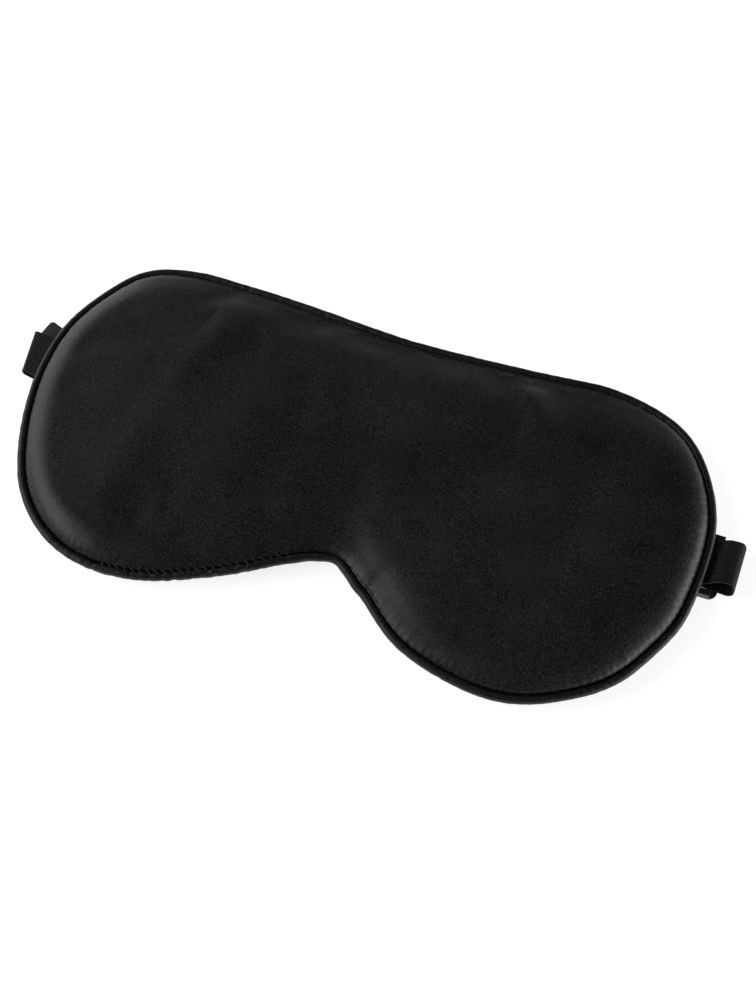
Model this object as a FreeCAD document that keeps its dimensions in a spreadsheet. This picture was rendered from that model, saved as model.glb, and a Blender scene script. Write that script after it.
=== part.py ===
import FreeCAD, Part

import math
import os

import Sketcher
from FreeCAD import Vector

# Padded sleep eye mask with an adjustable elastic head strap, in millimetres.
# The mask lies on its back: +X across the face, +Y towards the forehead, +Z out of the
# front. Z = 0 is the surface it lies on, and X = Y = 0 is the middle of the outline.
# The strap is folded under the mask and lies in a shallow channel that it presses in the back.

DIMENSIONS = [
    # The outline: five arcs a side, tangent to each other, and a straight flank.
    ("half_width", 106.0, "middle line to the side"),
    ("lobe_top", 55.4, "highest point of the upper edge above the middle"),
    ("top_centre", 51.5, "upper edge at the middle line"),
    ("lobe_drop", 55.4, "lowest point of a lobe below the middle"),
    ("notch_drop", 30.7, "top of the nose notch below the middle"),
    ("top_radius", 440.0, "hollow of the upper edge"),
    ("shoulder_radius", 44.5, "upper corner"),
    ("side_radius", 84.0, "side"),
    ("lobe_radius", 43.0, "lower lobe"),
    ("notch_radius", 10.0, "top of the nose notch"),
    # The piping round the edge.
    ("piping_diameter", 2.6, "piping over its cover"),
    ("edge_inset", 1.3, "outline to the middle of the piping"),
    ("piping_bore", 1.9, "inside of the piping cover"),
    ("cord_diameter", 1.8, "filler cord"),
    ("piping_level", 5.5, "height of the piping's middle"),
    ("piping_tail", 2.35, "inset of the tail's outer edge, inside the cover's wall"),
    ("tail_low", 5.35, "underside of the piping's tail"),
    ("tail_thick", 0.25, "tail"),
    # The covers and what is between them.
    ("skin", 0.45, "cover cloth"),
    ("cover_inset", 2.75, "outline to the seam line"),
    ("allowance_inset", 7.75, "outline to the inner edge of the seam allowance"),
    ("allowance", 0.4, "thickness of a cover's seam allowance"),
    ("back_top", 4.65, "top of the back cover"),
    ("back_round", 3.6, "rounding of the back cover's rim"),
    ("front_low", 5.9, "underside of the front cover"),
    ("front_top", 12.0, "top of the front cover"),
    ("front_round", 5.6, "rounding of the front cover's rim"),
    ("lining_low", 5.65, "underside of the blackout lining"),
    ("lining_thick", 0.2, "blackout lining"),
    ("ease", 0.15, "space round each piece of wadding"),
    ("thread_room", 0.55, "space over the front allowance for the seam thread"),
    # The channel that the strap lies in.
    ("channel_roof", 3.8, "top of the channel"),
    ("channel_half", 11.3, "half the channel's width"),
    ("slot_half", 7.8, "half the width of the slot for a sewn strap end"),
    ("slot_depth", 6.0, "slot measured in from the side"),
    # The strap and its two fittings.
    ("strap_middle", 8.5, "middle line of the strap above the middle"),
    ("band_width", 15.0, "elastic"),
    ("band_thick", 0.6, "elastic"),
    ("sewn_level", 4.98, "middle of a sewn strap end"),
    ("sewn_start", 7.5, "side of the mask in to the cut end of the elastic"),
    ("sewn_run", 2.8, "flat part of a sewn end"),
    ("dip_run", 2.3, "slope from a sewn end down to the dip"),
    ("dip_bend", 0.9, "bends of that slope"),
    ("rise_start", 1.0, "side of the mask out to where the right loop rises"),
    ("rise_run", 3.5, "slope of the right loop up to its crest"),
    ("rise_bend", 2.0, "bend below that slope"),
    ("crest_bend", 3.0, "bend above that slope"),
    ("dip_level", 3.65, "middle of the band under the piping"),
    ("crest_level", 4.6, "middle of the band at the top of the right loop"),
    ("lower_level", 1.3, "middle of the lower layer"),
    ("upper_level", 2.9, "middle of the upper layer"),
    ("left_fold", 113.6, "outer end of the left loop"),
    ("right_fold", 115.2, "outer end of the right loop"),
    ("bar_gap", 0.1, "space between the elastic and the side of a bar"),
    ("join_run", 2.0, "ring's window to where the returning elastic starts"),
    ("hook_bend", 0.5, "bend of the elastic over the slider's middle bar"),
    ("bar_low", 1.65, "underside of the ring and of the slider's middle bar"),
    ("bar_thick", 0.9, "ring and the slider's middle bar"),
    ("fitting_half", 10.3, "half the length of the ring and of the slider"),
    ("window_half", 8.3, "half the length of their windows"),
    ("fitting_corner", 2.5, "corner of the ring and of the slider"),
    ("ring_middle", -92.5, "middle of the ring across the face"),
    ("ring_width", 11.0, "ring"),
    ("ring_window", 7.0, "window of the ring"),
    ("slider_middle", 104.6, "middle of the slider across the face"),
    ("slider_width", 12.2, "slider"),
    ("slider_window", 8.2, "window of the slider"),
    ("slider_bar", 1.8, "middle bar of the slider"),
    ("slider_foot", 0.15, "underside of the slider's outer bars"),
    ("foot_thick", 0.8, "outer bars"),
    # The stitching that can be reached from outside or that holds the strap.
    ("thread_diameter", 0.3, "sewing thread"),
    ("stitch_length", 2.4, "closing stitch"),
    ("stitch_pitch", 3.4, "closing stitch to the next"),
    ("stitch_inset", 2.5, "outline to the closing stitches"),
    ("stitch_rise", 1.15, "piping's middle up to the closing stitches"),
    ("stitch_first", 222.0, "degrees round the left lobe to the first closing stitch"),
    ("stitch_last", 296.0, "degrees round the left lobe to the last closing stitch"),
    ("tack_inner", 7.3, "side of the mask in to the far end of a strap tack"),
    ("tack_outer", 6.1, "side of the mask in to the near end of a strap tack"),
    ("tack_count", 12, "stitches in a strap tack"),
    ("row_length", 1.4, "strap stitches, along the elastic"),
    ("row_count", 10, "stitches in a row across the elastic"),
    ("row_margin", 1.5, "edge of the elastic to the nearest stitch"),
    ("row_lift", 0.03, "space under a stitch"),
    ("tab_row", 4.5, "side of the mask in to the tab's stitches"),
    ("return_row", 3.8, "slider's middle back to the stitches beside it"),
]

D = "Dimensions."
OVERSHOOT = 1.0
TOLERANCE = 1e-3
LEFT, RIGHT = -1, 1


def fill_sheet(doc):
    """The driving dimensions, one to a row, each with its alias."""
    sheet = doc.addObject("Spreadsheet::Sheet", "Dimensions")
    for row, (alias, value, note) in enumerate(DIMENSIONS, start=1):
        sheet.set(f"A{row}", alias)
        sheet.set(f"B{row}", str(value))
        sheet.set(f"C{row}", note)
        sheet.setAlias(f"B{row}", alias)
    doc.recompute()
    return sheet


def origin_plane(body, role):
    """One of the body's own origin planes."""
    return next(f for f in body.Origin.OriginFeatures if f.Role == role)


def new_sketch(body, name, role="XY_Plane", offset=None):
    """A sketch on an origin plane of its body, moved along the plane's normal by an expression."""
    sketch = body.newObject("Sketcher::SketchObject", name)
    sketch.AttachmentSupport = (origin_plane(body, role), [""])
    sketch.MapMode = "FlatFace"
    if offset:
        sketch.setExpression("AttachmentOffset.Base.z", offset)
    return sketch


def bind(sketch, constraint, name, expression):
    """Adds a dimension to a sketch and binds it to the sheet."""
    index = sketch.addConstraint(constraint)
    sketch.renameConstraint(index, name)
    sketch.setExpression(f"Constraints.{name}", expression)


def place(sketch, direction, geometry, point, value, name, expression):
    """Fixes how far a point of a sketch is from the origin one way, with its sign."""
    if value < 0:
        distance = Sketcher.Constraint(direction, geometry, point, -1, 1, -value)
        bind(sketch, distance, name, f"-({expression})")
    else:
        distance = Sketcher.Constraint(direction, -1, 1, geometry, point, value)
        bind(sketch, distance, name, expression)


def arc(centre, radius, start, end):
    """An arc of a circle, anticlockwise between two angles in radians."""
    return Part.ArcOfCircle(Part.Circle(centre, Vector(0, 0, 1), radius), start, end)


def heading(origin, target):
    """The angle of the line from one point to another."""
    return math.atan2(target.y - origin.y, target.x - origin.x)


def outline_centres(sheet):
    """Centres of the right-hand arcs, which every inset of the outline shares."""
    top = Vector(0, sheet.top_centre + sheet.top_radius, 0)
    shoulder_y = sheet.lobe_top - sheet.shoulder_radius
    reach = sheet.top_radius + sheet.shoulder_radius
    shoulder = Vector(math.sqrt(reach**2 - (top.y - shoulder_y) ** 2), shoulder_y, 0)
    side_x = sheet.half_width - sheet.side_radius
    reach = sheet.side_radius - sheet.shoulder_radius
    side = Vector(side_x, shoulder_y - math.sqrt(reach**2 - (shoulder.x - side_x) ** 2), 0)
    lobe_y = sheet.lobe_radius - sheet.lobe_drop
    reach = sheet.side_radius - sheet.lobe_radius
    lobe = Vector(side_x + math.sqrt(reach**2 - (side.y - lobe_y) ** 2), lobe_y, 0)
    notch = Vector(0, -sheet.notch_drop - sheet.notch_radius, 0)
    return top, shoulder, side, lobe, notch


def flank_angle(sheet, lobe, notch):
    """Direction, seen from the lobe's centre, of the point where the flank leaves the lobe."""
    reach = sheet.lobe_radius + sheet.notch_radius
    between = heading(lobe, notch)
    return between + math.acos(reach / lobe.distanceToPoint(notch))


def mirrored(point):
    return Vector(-point.x, point.y, point.z)


def add_outline(sketch, sheet, inset, tag):
    """Adds the mask's closed outline, moved inwards by the inset, fully constrained."""
    move = sum(getattr(sheet, term) for term in inset)
    shift = " + ".join(D + term for term in inset)
    top, shoulder, side, lobe, notch = outline_centres(sheet)
    flank = flank_angle(sheet, lobe, notch)
    to_shoulder = heading(top, shoulder)
    at_side = heading(side, shoulder)
    at_lobe = heading(side, lobe)
    half_turn = math.pi
    top_r = sheet.top_radius + move
    notch_r = sheet.notch_radius + move
    shoulder_r = sheet.shoulder_radius - move
    side_r = sheet.side_radius - move
    lobe_r = sheet.lobe_radius - move
    leave = Vector(lobe.x + lobe_r * math.cos(flank), lobe.y + lobe_r * math.sin(flank), 0)
    meet = Vector(-notch_r * math.cos(flank), notch.y - notch_r * math.sin(flank), 0)
    first = sketch.GeometryCount
    sketch.addGeometry(
        [
            arc(top, top_r, -half_turn / 2, to_shoulder),
            arc(shoulder, shoulder_r, at_side, to_shoulder + half_turn),
            arc(side, side_r, at_lobe, at_side),
            arc(lobe, lobe_r, flank, at_lobe),
            Part.LineSegment(leave, meet),
            arc(notch, notch_r, flank + half_turn, -flank),
            Part.LineSegment(mirrored(leave), mirrored(meet)),
            arc(mirrored(lobe), lobe_r, half_turn - at_lobe, half_turn - flank),
            arc(mirrored(side), side_r, half_turn - at_side, half_turn - at_lobe),
            arc(mirrored(shoulder), shoulder_r, -to_shoulder, half_turn - at_side),
            arc(top, top_r, half_turn - to_shoulder, -half_turn / 2),
        ],
        False,
    )
    names = ["top", "shoulder", "side", "lobe", "flank", "notch"]
    names += ["flank2", "lobe2", "side2", "shoulder2", "top2"]
    g = {name: first + i for i, name in enumerate(names)}
    begin, finish, middle, axis_y = 1, 2, 3, -2
    joins = [
        ("top", finish, "shoulder", finish),
        ("shoulder", begin, "side", finish),
        ("side", begin, "lobe", finish),
        ("lobe", begin, "flank", begin),
        ("flank", finish, "notch", begin),
        ("flank2", finish, "notch", finish),
        ("lobe2", finish, "flank2", begin),
        ("side2", finish, "lobe2", begin),
        ("shoulder2", finish, "side2", begin),
        ("top2", begin, "shoulder2", begin),
    ]
    for one, one_end, other, other_end in joins:
        join = Sketcher.Constraint("Tangent", g[one], one_end, g[other], other_end)
        sketch.addConstraint(join)
    for name in ("top", "top2", "notch"):
        sketch.addConstraint(Sketcher.Constraint("PointOnObject", g[name], middle, axis_y))
    sketch.addConstraint(Sketcher.Constraint("PointOnObject", g["top"], begin, axis_y))
    sketch.addConstraint(Sketcher.Constraint("PointOnObject", g["top2"], finish, axis_y))
    radii = [
        ("top", top_r, f"{D}top_radius + {shift}"),
        ("top2", top_r, f"{D}top_radius + {shift}"),
        ("notch", notch_r, f"{D}notch_radius + {shift}"),
        ("shoulder", shoulder_r, f"{D}shoulder_radius - ({shift})"),
        ("shoulder2", shoulder_r, f"{D}shoulder_radius - ({shift})"),
        ("side", side_r, f"{D}side_radius - ({shift})"),
        ("side2", side_r, f"{D}side_radius - ({shift})"),
        ("lobe", lobe_r, f"{D}lobe_radius - ({shift})"),
        ("lobe2", lobe_r, f"{D}lobe_radius - ({shift})"),
    ]
    for name, radius, expression in radii:
        bind(sketch, Sketcher.Constraint("Radius", g[name], radius), f"{name}_{tag}", expression)
    heights = [
        ("top", top.y, f"{D}top_centre + {D}top_radius"),
        ("top2", top.y, f"{D}top_centre + {D}top_radius"),
        ("shoulder", shoulder.y, f"{D}lobe_top - {D}shoulder_radius"),
        ("shoulder2", shoulder.y, f"{D}lobe_top - {D}shoulder_radius"),
        ("lobe", lobe.y, f"{D}lobe_radius - {D}lobe_drop"),
        ("lobe2", lobe.y, f"{D}lobe_radius - {D}lobe_drop"),
        ("notch", notch.y, f"-{D}notch_drop - {D}notch_radius"),
    ]
    for name, value, expression in heights:
        place(sketch, "DistanceY", g[name], middle, value, f"{name}_y_{tag}", expression)
    across = f"{D}half_width - {D}side_radius"
    place(sketch, "DistanceX", g["side"], middle, side.x, f"side_x_{tag}", across)
    place(sketch, "DistanceX", g["side2"], middle, -side.x, f"side2_x_{tag}", f"-({across})")


def outline_pad(doc, sheet, label, insets, low, height):
    """A flat pad of the outline, or of the ring between two outlines, from one level up."""
    body = doc.addObject("PartDesign::Body", label)
    sketch = new_sketch(body, "Outline", offset=low)
    for number, inset in enumerate(insets):
        add_outline(sketch, sheet, inset, f"o{number}")
    pad = body.newObject("PartDesign::Pad", "Layer")
    pad.Profile = sketch
    pad.setExpression("Length", height)
    doc.recompute()
    return body


def cushion(doc, sheet, label, inset, low, height, round_level, radius):
    """An outline pad with one rounded rim, the plain form of a stuffed layer."""
    body = outline_pad(doc, sheet, label, [inset], low, height)
    fillet(doc, body, rim_edges(body.Tip.Shape, round_level), radius)
    return body


def channel_box(doc, label, margin):
    """The strap's channel across the back, made wider and higher by a margin."""
    box = doc.addObject("Part::Box", label)
    box.setExpression("Length", f"2 * ({D}right_fold + {margin})")
    box.setExpression("Width", f"2 * ({D}channel_half + {margin})")
    box.setExpression("Height", f"{D}channel_roof + {margin} + {OVERSHOOT}")
    box.setExpression("Placement.Base.x", f"-({D}right_fold + {margin})")
    box.setExpression("Placement.Base.y", f"{D}strap_middle - {D}channel_half - ({margin})")
    box.setExpression("Placement.Base.z", f"-{OVERSHOOT}")
    return box


def slot_box(doc, label, side):
    """The slot in the side of the back cover that a sewn strap end goes in through."""
    box = doc.addObject("Part::Box", label)
    box.setExpression("Length", f"{D}slot_depth + {OVERSHOOT}")
    box.setExpression("Width", f"2 * {D}slot_half")
    box.setExpression("Height", f"{D}back_top + 2 * {OVERSHOOT}")
    start = f"{D}half_width - {D}slot_depth" if side == RIGHT else f"-{D}half_width - {OVERSHOOT}"
    box.setExpression("Placement.Base.x", start)
    box.setExpression("Placement.Base.y", f"{D}strap_middle - {D}slot_half")
    box.setExpression("Placement.Base.z", f"-{OVERSHOOT}")
    return box


def combine(doc, kind, label, first, *others):
    """A boolean of a first object with one other, or with the fusion of several."""
    tool = others[0]
    if len(others) > 1:
        tool = doc.addObject("Part::MultiFuse", f"{label}_tools")
        tool.Shapes = list(others)
    result = doc.addObject(kind, label)
    result.Base = first
    result.Tool = tool
    return result


def front_cover(doc, sheet):
    """Satin shell over the front, with its seam allowance turned in."""
    top = sheet.front_top
    height = f"{D}front_top - {D}front_low"
    outside = cushion(
        doc, sheet, "front_outside", ["cover_inset"], f"{D}front_low", height, top,
        f"{D}front_round",
    )
    inside = cushion(
        doc, sheet, "front_inside", ["cover_inset", "skin"],
        f"{D}front_low + {D}allowance", f"{height} - {D}allowance - {D}skin",
        top - sheet.skin, f"{D}front_round - {D}skin",
    )
    mouth = outline_pad(
        doc, sheet, "front_mouth", [["allowance_inset"]], f"{D}front_low - {D}allowance",
        f"3 * {D}allowance",
    )
    return combine(doc, "Part::Cut", "front_cover", outside, inside, mouth)


def back_cover(doc, sheet):
    """Satin shell over the back, pressed in by the strap and slotted for its sewn ends."""
    outside = cushion(
        doc, sheet, "back_outside", ["cover_inset"], "0", f"{D}back_top", 0.0,
        f"{D}back_round",
    )
    inside = cushion(
        doc, sheet, "back_inside", ["cover_inset", "skin"], f"{D}skin",
        f"{D}back_top - {D}allowance - {D}skin", sheet.skin, f"{D}back_round - {D}skin",
    )
    wide_channel = channel_box(doc, "channel_over_skin", f"{D}skin")
    cavity = combine(doc, "Part::Cut", "back_cavity", inside, wide_channel)
    mouth = outline_pad(
        doc, sheet, "back_mouth", [["allowance_inset"]], f"{D}back_top - {D}allowance",
        f"2 * {D}allowance",
    )
    tools = [cavity, mouth, channel_box(doc, "channel", "0")]
    tools += [slot_box(doc, "left_slot", LEFT), slot_box(doc, "right_slot", RIGHT)]
    return combine(doc, "Part::Cut", "back_cover", outside, *tools)


def padding_front(doc, sheet):
    """Wadding that fills the front cover, with a thinner part down through the allowance."""
    low = f"{D}front_low + {D}allowance + {D}thread_room"
    top = sheet.front_top - sheet.skin - 2 * sheet.ease
    height = f"{D}front_top - {D}skin - 2 * {D}ease - ({low})"
    body = cushion(
        doc, sheet, "front_wadding", ["cover_inset", "skin", "ease", "ease"], low, height, top,
        f"{D}front_round - {D}skin - 2 * {D}ease - {D}thread_room",
    )
    neck_low = f"{D}lining_low + {D}lining_thick + {D}ease / 3"
    neck = outline_pad(
        doc, sheet, "front_neck", [["allowance_inset", "ease"]], neck_low,
        f"{low} + {D}ease - ({neck_low})",
    )
    return combine(doc, "Part::Fuse", "padding_front", body, neck)


def padding_back(doc, sheet):
    """Wadding that fills the back cover, squeezed thin over the strap's channel."""
    low = f"{D}skin + {D}ease"
    body = cushion(
        doc, sheet, "back_wadding", ["cover_inset", "skin", "ease"], low,
        f"{D}back_top - {D}allowance - {D}ease - ({low})", sheet.skin + sheet.ease,
        f"{D}back_round - {D}skin - {D}ease",
    )
    neck_low = f"{D}back_top - {D}allowance - 2 * {D}ease"
    neck = outline_pad(
        doc, sheet, "back_neck", [["allowance_inset", "ease"]], neck_low,
        f"{D}lining_low - {D}ease / 2 - ({neck_low})",
    )
    whole = combine(doc, "Part::Fuse", "back_filling", body, neck)
    channel = channel_box(doc, "channel_over_wadding", f"{D}skin + {D}ease")
    return combine(doc, "Part::Cut", "padding_back", whole, channel)


def outline_pipe(doc, sheet, body, name, inset, level, diameter, kind="PartDesign::AdditivePipe"):
    """A round rod or bore that follows the outline at one level."""
    path = new_sketch(body, f"{name}_path", offset=level)
    add_outline(path, sheet, inset, "path")
    ring = new_sketch(body, f"{name}_ring", role="YZ_Plane")
    across = sheet.top_centre - sum(getattr(sheet, term) for term in inset)
    centre = Vector(across, sheet.piping_level, 0)
    index = ring.addGeometry(Part.Circle(centre, Vector(0, 0, 1), sheet.piping_diameter / 2), False)
    shift = " - ".join([f"{D}top_centre"] + [D + term for term in inset])
    place(ring, "DistanceX", index, 3, centre.x, "across", shift)
    place(ring, "DistanceY", index, 3, centre.y, "up", level)
    bind(ring, Sketcher.Constraint("Diameter", index, sheet.piping_diameter), "size", diameter)
    doc.recompute()
    pipe = body.newObject(kind, name)
    pipe.Profile = ring
    pipe.Spine = (path, [f"Edge{i + 1}" for i in range(len(path.Shape.Edges))])
    doc.recompute()
    return pipe


def piping_cover(doc, sheet):
    """Bias strip round the filler cord, with its tail between the two covers' allowances."""
    body = doc.addObject("PartDesign::Body", "piping_cover")
    level = f"{D}piping_level"
    outline_pipe(doc, sheet, body, "tube", ["edge_inset"], level, f"{D}piping_diameter")
    tail = new_sketch(body, "Tail", offset=f"{D}tail_low")
    add_outline(tail, sheet, ["piping_tail"], "outer")
    add_outline(tail, sheet, ["allowance_inset"], "inner")
    pad = body.newObject("PartDesign::Pad", "TailPad")
    pad.Profile = tail
    pad.setExpression("Length", f"{D}tail_thick")
    doc.recompute()
    bore = "PartDesign::SubtractivePipe"
    outline_pipe(doc, sheet, body, "bore", ["edge_inset"], level, f"{D}piping_bore", bore)
    return body


def piping_cord(doc, sheet):
    """Filler cord inside the piping cover."""
    body = doc.addObject("PartDesign::Body", "piping_cord")
    outline_pipe(
        doc, sheet, body, "cord", ["edge_inset"], f"{D}piping_level", f"{D}cord_diameter"
    )
    return body


def seam_thread(doc, sheet):
    """The line of thread of the main seam, where it lies on the front allowance."""
    body = doc.addObject("PartDesign::Body", "seam_thread")
    level = f"{D}front_low + {D}allowance + {D}thread_diameter"
    outline_pipe(
        doc, sheet, body, "thread", ["cover_inset", "cover_inset"], level, f"{D}thread_diameter"
    )
    return body


def blackout_lining(doc, sheet):
    """Thin opaque sheet between the two layers of wadding, caught in the seam all round."""
    inset = ["cover_inset", "ease"]
    return outline_pad(
        doc, sheet, "blackout_lining", [inset], f"{D}lining_low", f"{D}lining_thick"
    )


def rounded_path(corners):
    """Lines and tangent arcs through corners given as (x, z, radius), ends with radius 0."""
    points = [Vector(x, z, 0) for x, z, _ in corners]
    edges = []
    here = points[0]
    for i in range(1, len(points) - 1):
        back = (points[i - 1] - points[i]).normalize()
        ahead = (points[i + 1] - points[i]).normalize()
        half = back.getAngle(ahead) / 2
        radius = corners[i][2]
        reach = radius / math.tan(half)
        enter = points[i] + back * reach
        leave = points[i] + ahead * reach
        inward = (back + ahead).normalize()
        centre = points[i] + inward * (radius / math.sin(half))
        crown = centre - inward * radius
        if here.distanceToPoint(enter) > 1e-6:
            edges.append(Part.LineSegment(here, enter))
        edges.append(Part.Arc(enter, crown, leave))
        here = leave
    edges.append(Part.LineSegment(here, points[-1]))
    return edges


def add_rectangle(sketch, tag, middle_x, middle_y, half_x, half_y):
    """A rectangle whose middle and half sizes are (value, expression) pairs."""
    x0, y0 = middle_x[0] - half_x[0], middle_y[0] - half_y[0]
    x1, y1 = middle_x[0] + half_x[0], middle_y[0] + half_y[0]
    rim = [Vector(x0, y0, 0), Vector(x1, y0, 0), Vector(x1, y1, 0), Vector(x0, y1, 0)]
    first = sketch.GeometryCount
    for i in range(4):
        sketch.addGeometry(Part.LineSegment(rim[i], rim[(i + 1) % 4]), False)
    for i in range(4):
        join = Sketcher.Constraint("Coincident", first + i, 2, first + (i + 1) % 4, 1)
        sketch.addConstraint(join)
    for i, direction in enumerate(["Horizontal", "Vertical"] * 2):
        sketch.addConstraint(Sketcher.Constraint(direction, first + i))
    wide = Sketcher.Constraint("DistanceX", first, 1, first, 2, x1 - x0)
    tall = Sketcher.Constraint("DistanceY", first + 1, 1, first + 1, 2, y1 - y0)
    bind(sketch, wide, f"wide_{tag}", f"2 * ({half_x[1]})")
    bind(sketch, tall, f"tall_{tag}", f"2 * ({half_y[1]})")
    place(sketch, "DistanceX", first, 1, x0, f"x_{tag}", f"{middle_x[1]} - ({half_x[1]})")
    place(sketch, "DistanceY", first, 1, y0, f"y_{tag}", f"{middle_y[1]} - ({half_y[1]})")


def cell(sheet, name, share=1):
    """A cell's value, or a share of it, with the expression that gives the same."""
    return getattr(sheet, name) * share, f"{D}{name} * {share}"


def band(doc, sheet, label, corners, start, level):
    """A length of flat elastic that follows a path from a cut end at one level."""
    body = doc.addObject("PartDesign::Body", label)
    path = new_sketch(body, "Path", role="XZ_Plane", offset=f"-{D}strap_middle")
    path.addGeometry(rounded_path(corners), False)
    section = new_sketch(body, "Section", role="YZ_Plane", offset=start)
    add_rectangle(
        section, "cut", cell(sheet, "strap_middle"), cell(sheet, level),
        cell(sheet, "band_width", 0.5), cell(sheet, "band_thick", 0.5),
    )
    doc.recompute()
    pipe = body.newObject("PartDesign::AdditivePipe", "Elastic")
    pipe.Profile = section
    pipe.Spine = (path, [f"Edge{i + 1}" for i in range(len(path.Shape.Edges))])
    doc.recompute()
    return body


def sewn_end(sheet, side):
    """The corners of a sewn strap end: flat in the seam, then down to pass under the piping."""
    cut = sheet.half_width - sheet.sewn_start
    bend = cut + sheet.sewn_run
    dip = bend + sheet.dip_run
    return [
        (side * cut, sheet.sewn_level, 0),
        (side * bend, sheet.sewn_level, sheet.dip_bend),
        (side * dip, sheet.dip_level, sheet.dip_bend),
    ]


def fold(sheet, outer, level):
    """The corners of a half turn from one level down to the lower layer."""
    turn = (level - sheet.lower_level) / 2
    middle = outer - math.copysign(sheet.band_thick / 2, outer)
    return [(middle, level, turn), (middle, sheet.lower_level, turn)]


def wrap(sheet, bar_side, side):
    """The corners of a half turn round a bar of the ring, up to the upper layer."""
    turn = (sheet.upper_level - sheet.lower_level) / 2
    middle = bar_side + side * (sheet.bar_gap + turn)
    return [(middle, sheet.lower_level, turn), (middle, sheet.upper_level, turn)]


def strap_tab(doc, sheet):
    """Short elastic from the left seam, folded under the mask and looped round the ring."""
    start = sewn_end(sheet, LEFT)
    bar_side = sheet.ring_middle - sheet.ring_window / 2
    corners = start + fold(sheet, -sheet.left_fold, sheet.dip_level)
    corners += wrap(sheet, bar_side, RIGHT)
    corners.append((start[-1][0], sheet.upper_level, 0))
    cut = f"{D}sewn_start - {D}half_width"
    return band(doc, sheet, "strap_tab", corners, cut, "sewn_level")


def strap_band(doc, sheet):
    """Long elastic from the right seam, folded under, through the slider and round the ring."""
    bar_side = sheet.ring_middle + sheet.ring_window / 2
    rise = sheet.half_width + sheet.rise_start
    corners = sewn_end(sheet, RIGHT)
    corners.append((rise, sheet.dip_level, sheet.rise_bend))
    corners.append((rise + sheet.rise_run, sheet.crest_level, sheet.crest_bend))
    corners += fold(sheet, sheet.right_fold, sheet.crest_level)
    corners += wrap(sheet, bar_side, LEFT)
    corners.append((bar_side + sheet.join_run, sheet.upper_level, 0))
    cut = f"{D}half_width - {D}sewn_start"
    return band(doc, sheet, "strap_band", corners, cut, "sewn_level")


def strap_return(doc, sheet):
    """The same elastic coming back from the ring, hooked over the slider's middle bar."""
    start = sheet.ring_middle + sheet.ring_window / 2 + sheet.join_run
    bar_end = sheet.slider_middle + sheet.slider_bar / 2
    hook = bar_end + sheet.bar_gap + sheet.band_thick / 2
    corners = [
        (start, sheet.upper_level, 0),
        (hook, sheet.upper_level, sheet.hook_bend),
        (hook, sheet.bar_low + sheet.bar_gap, 0),
    ]
    cut = f"{D}ring_middle + {D}ring_window / 2 + {D}join_run"
    return band(doc, sheet, "strap_return", corners, cut, "upper_level")


def rim_edges(shape, level):
    """Names of the edges that lie at one level."""
    names = []
    for number, edge in enumerate(shape.Edges, start=1):
        box = edge.BoundBox
        if abs(box.ZMin - level) < TOLERANCE and abs(box.ZMax - level) < TOLERANCE:
            names.append(f"Edge{number}")
    return names


def corner_edges(shape, middle_x, middle_y, half_x, half_y):
    """Names of the upright edges at the four corners of a rectangle."""
    names = []
    for number, edge in enumerate(shape.Edges, start=1):
        box = edge.BoundBox
        upright = box.ZLength > TOLERANCE > box.XLength + box.YLength
        off_x = abs(abs(box.XMin - middle_x) - half_x)
        off_y = abs(abs(box.YMin - middle_y) - half_y)
        if upright and off_x + off_y < TOLERANCE:
            names.append(f"Edge{number}")
    return names


def fillet(doc, body, names, radius):
    """Rounds named edges of the body's latest feature."""
    base = body.Tip
    feature = body.newObject("PartDesign::Fillet", "Round")
    feature.Base = (base, names)
    feature.setExpression("Radius", radius)
    doc.recompute()


def layer(doc, body, name, low, height, rectangles):
    """Pads rectangles, or the frame between two of them, from one level up."""
    sketch = new_sketch(body, f"{name}_plan", offset=low)
    for number, sizes in enumerate(rectangles):
        add_rectangle(sketch, f"r{number}", *sizes)
    pad = body.newObject("PartDesign::Pad", name)
    pad.Profile = sketch
    pad.setExpression("Length", height)
    doc.recompute()


def fitting_frame(doc, sheet, label, low, height):
    """A flat frame with one window and rounded corners, the base of the ring and the slider."""
    body = doc.addObject("PartDesign::Body", f"strap_{label}")
    middle = (cell(sheet, f"{label}_middle"), cell(sheet, "strap_middle"))
    outer = (*middle, cell(sheet, f"{label}_width", 0.5), cell(sheet, "fitting_half"))
    window = (*middle, cell(sheet, f"{label}_window", 0.5), cell(sheet, "window_half"))
    layer(doc, body, "Frame", low, height, [outer, window])
    corners = corner_edges(body.Tip.Shape, *[value for value, _ in outer])
    fillet(doc, body, corners, f"{D}fitting_corner")
    return body, middle


def strap_ring(doc, sheet):
    """Flat moulded ring that joins the tab to the long elastic."""
    body, _ = fitting_frame(doc, sheet, "ring", f"{D}bar_low", f"{D}bar_thick")
    shape = body.Tip.Shape
    rims = rim_edges(shape, sheet.bar_low) + rim_edges(shape, sheet.bar_low + sheet.bar_thick)
    fillet(doc, body, rims, f"{D}bar_thick / 4")
    return body


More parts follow.
